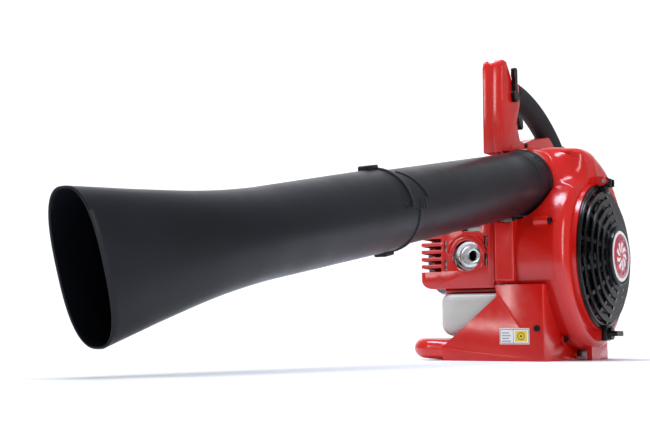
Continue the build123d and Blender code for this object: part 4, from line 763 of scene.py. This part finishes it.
# silencer behind the round window
mufflerShape = {"bore": 5.6, "lip": 8.2, "depth": 22, "dishOffset": 6.0, "dishSink": 0.2}


def makeMuffler():
    m = mufflerShape
    low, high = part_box("muffler_outlet")
    centre = Vector(((low.x + high.x) / 2, low.y, (low.z + high.z) / 2))
    mesh = bmesh.new()
    bore, lip, back = m["bore"], m["lip"], -m["depth"]
    turned(mesh, [(back, bore), (back, lip - 0.4), (-2.4, lip - 0.4), (-1.8, lip + 0.6), (-0.8, lip + 0.9),
                  (-0.1, lip + 0.4), (0, lip - 0.6), (-0.5, bore + 0.6), (-1.6, bore), (back, bore)],
           centre, (0, -1, 0), 56)
    makePiece("outletPipe", finishedMesh(mesh), "housing", finish["muffler_steel"],
              ["muffler_outlet"])
    dish = bmesh.new()
    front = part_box("muffler")[0].y
    turned(dish, [(-1.0, lip + 0.6), (-1.0, 20.5), (0.4, 20.0), (1.6, 18.6), (2.2, 16.6), (1.6, 14.8),
                  (0.2, 13.4), (0.0, 11.8), (0.5, 10.6), (0.3, lip + 0.6), (-1.0, lip + 0.6)],
           (centre.x - m["dishOffset"] * mm, front - m["dishSink"] * mm, centre.z), (0, -1, 0), 64)
    makePiece("silencerDish", finishedMesh(dish), "housing", finish["muffler_steel"])


makeMuffler()


# engine cover trim: rolled rim and arched bar round the window, a skirt under the cover
def arcBar(mesh, centre, radius, start, end, width, height, face, steps=40):  # a bar along an arc on a face
    rows = []
    for k in range(steps + 1):
        a = math.radians(start + (end - start) * k / steps)
        row = []
        for off, proud in ((-0.5, -0.4), (-0.5, 0.45), (-0.3, 0.9), (0.3, 0.9), (0.5, 0.45), (0.5, -0.4)):
            r = (radius + off * width) * mm
            row.append(mesh.verts.new((centre.x + r * math.cos(a), face - proud * height * mm,
                                       centre.z + r * math.sin(a))))
        rows.append(row)
    for first, second in zip(rows, rows[1:]):
        for k in range(6):
            mesh.faces.new((first[k], first[(k + 1) % 6], second[(k + 1) % 6], second[k]))
    if abs(end - start) < 360:
        mesh.faces.new(rows[0][::-1])
        mesh.faces.new(rows[-1])
    else:
        bmesh.ops.remove_doubles(mesh, verts=rows[0] + rows[-1], dist=1e-7)


coverShape = {"window": (-77.4, 119.4), "windowRadius": 17.4, "front": -100.0,
              "skirt": (78, 60, 9), "skirtPlace": (-76, -52, 80.4), "skirtEdge": 3}


def makeCoverTrim():
    c = coverShape
    centre = Vector((c["window"][0] * mm, 0, c["window"][1] * mm))
    mesh = bmesh.new()
    arcBar(mesh, centre, c["windowRadius"] + 1.6, 0, 360, 2.6, 1.2, c["front"] * mm, 72)
    arcBar(mesh, centre, c["windowRadius"] + 6.4, 8, 172, 3.2, 2.6, (c["front"] + 0.2) * mm)
    makePiece("windowRims", finishedMesh(mesh), "housing", finish["red_shell"])
    skirt = bmesh.new()
    roundedBlock(skirt, Vector(c["skirt"]) * mm, c["skirtEdge"] * mm,
                 Matrix.Translation(Vector(c["skirtPlace"]) * mm))
    makePiece("coverSkirt", skirt, "housing", finish["red_shell"])


makeCoverTrim()
print("silencer and cover trim made")


# stage, camera and lights
camera = {"place": (0.5082, -1.3283, 0.0244), "yaw": 0.5642, "pitch": 0.1078, "lens": 65.55}


def makeStage():  # a pale floor that curves up into a pale wall, so that there is no horizon
    mesh = bmesh.new()
    rows = []
    for k in range(25):
        a = math.pi / 2 * max(k - 4, 0) / 16 if k < 21 else math.pi / 2
        if k < 4:
            y, z = -6.0 + 2.0 * k, 0.0
        elif k < 21:
            y, z = 3.2 + 1.6 * math.sin(a), 1.6 * (1 - math.cos(a))
        else:
            y, z = 4.8, 1.6 + 1.4 * (k - 20)
        rows.append([mesh.verts.new((x, y, z)) for x in (-9, -3, 3, 9)])
    for first, second in zip(rows, rows[1:]):
        for k in range(3):
            mesh.faces.new((first[k], first[k + 1], second[k + 1], second[k]))
    data = bpy.data.meshes.new("studioSweep")
    mesh.to_mesh(data)
    mesh.free()
    data.shade_smooth()
    material, tree, shader, place = startMaterial("Paper sweep, white", "#f4f4f4", Roughness=0.9)
    twoTone(tree, shader, blotches(tree, place, 900, 0, 1), "#f2f2f2", "#f6f6f6")
    data.materials.append(material)
    sweep = bpy.data.objects.new("studioSweep", data)
    bpy.context.scene.collection.objects.link(sweep)
    sweep.rotation_euler = (0, 0, camera["yaw"])  # the wall stands square behind the object


def makeCamera():
    data = bpy.data.cameras.new("viewCamera")
    data.lens, data.sensor_width = camera["lens"], 36.0
    data.clip_start, data.clip_end = 0.02, 60
    eye = bpy.data.objects.new("viewCamera", data)
    bpy.context.scene.collection.objects.link(eye)
    eye.location = camera["place"]
    eye.rotation_euler = (math.pi / 2 + camera["pitch"], 0, camera["yaw"])
    bpy.context.scene.camera = eye


def softLight(name, place, aim, size, power, colour="#ffffff"):
    data = bpy.data.lights.new(name, "AREA")
    data.shape, data.size, data.size_y = "RECTANGLE", *size
    data.energy, data.color = power, linearColour(colour)[:3]
    lamp = bpy.data.objects.new(name, data)
    bpy.context.scene.collection.objects.link(lamp)
    lamp.location = place
    lamp.rotation_euler = (Vector(aim) - Vector(place)).to_track_quat("-Z", "Y").to_euler()


makeStage()
makeCamera()
softLight("topBox", (-0.25, -0.25, 1.8), (0, -0.25, 0.1), (0.5, 2.0), 52, "#e2ebff")
softLight("rightStrip", (1.6, -0.7, 0.7), (0, 0, 0.15), (0.25, 1.2), 9)
softLight("leftBox", (-1.5, -1.9, 1.0), (-0.05, 0, 0.2), (0.35, 1.0), 9)
softLight("wallWash", (-1.2, 1.6, 2.6), (-2.4, 4.4, 1.0), (4.5, 1.5), 120)
world = bpy.data.worlds.new("studioAir")
world.use_nodes = True
world.node_tree.nodes["Background"].inputs["Color"].default_value = linearColour("#eef0f4")
world.node_tree.nodes["Background"].inputs["Strength"].default_value = 0.42
bpy.context.scene.world = world
bpy.context.scene.view_settings.view_transform = "Standard"
print("stage, camera and lights made")
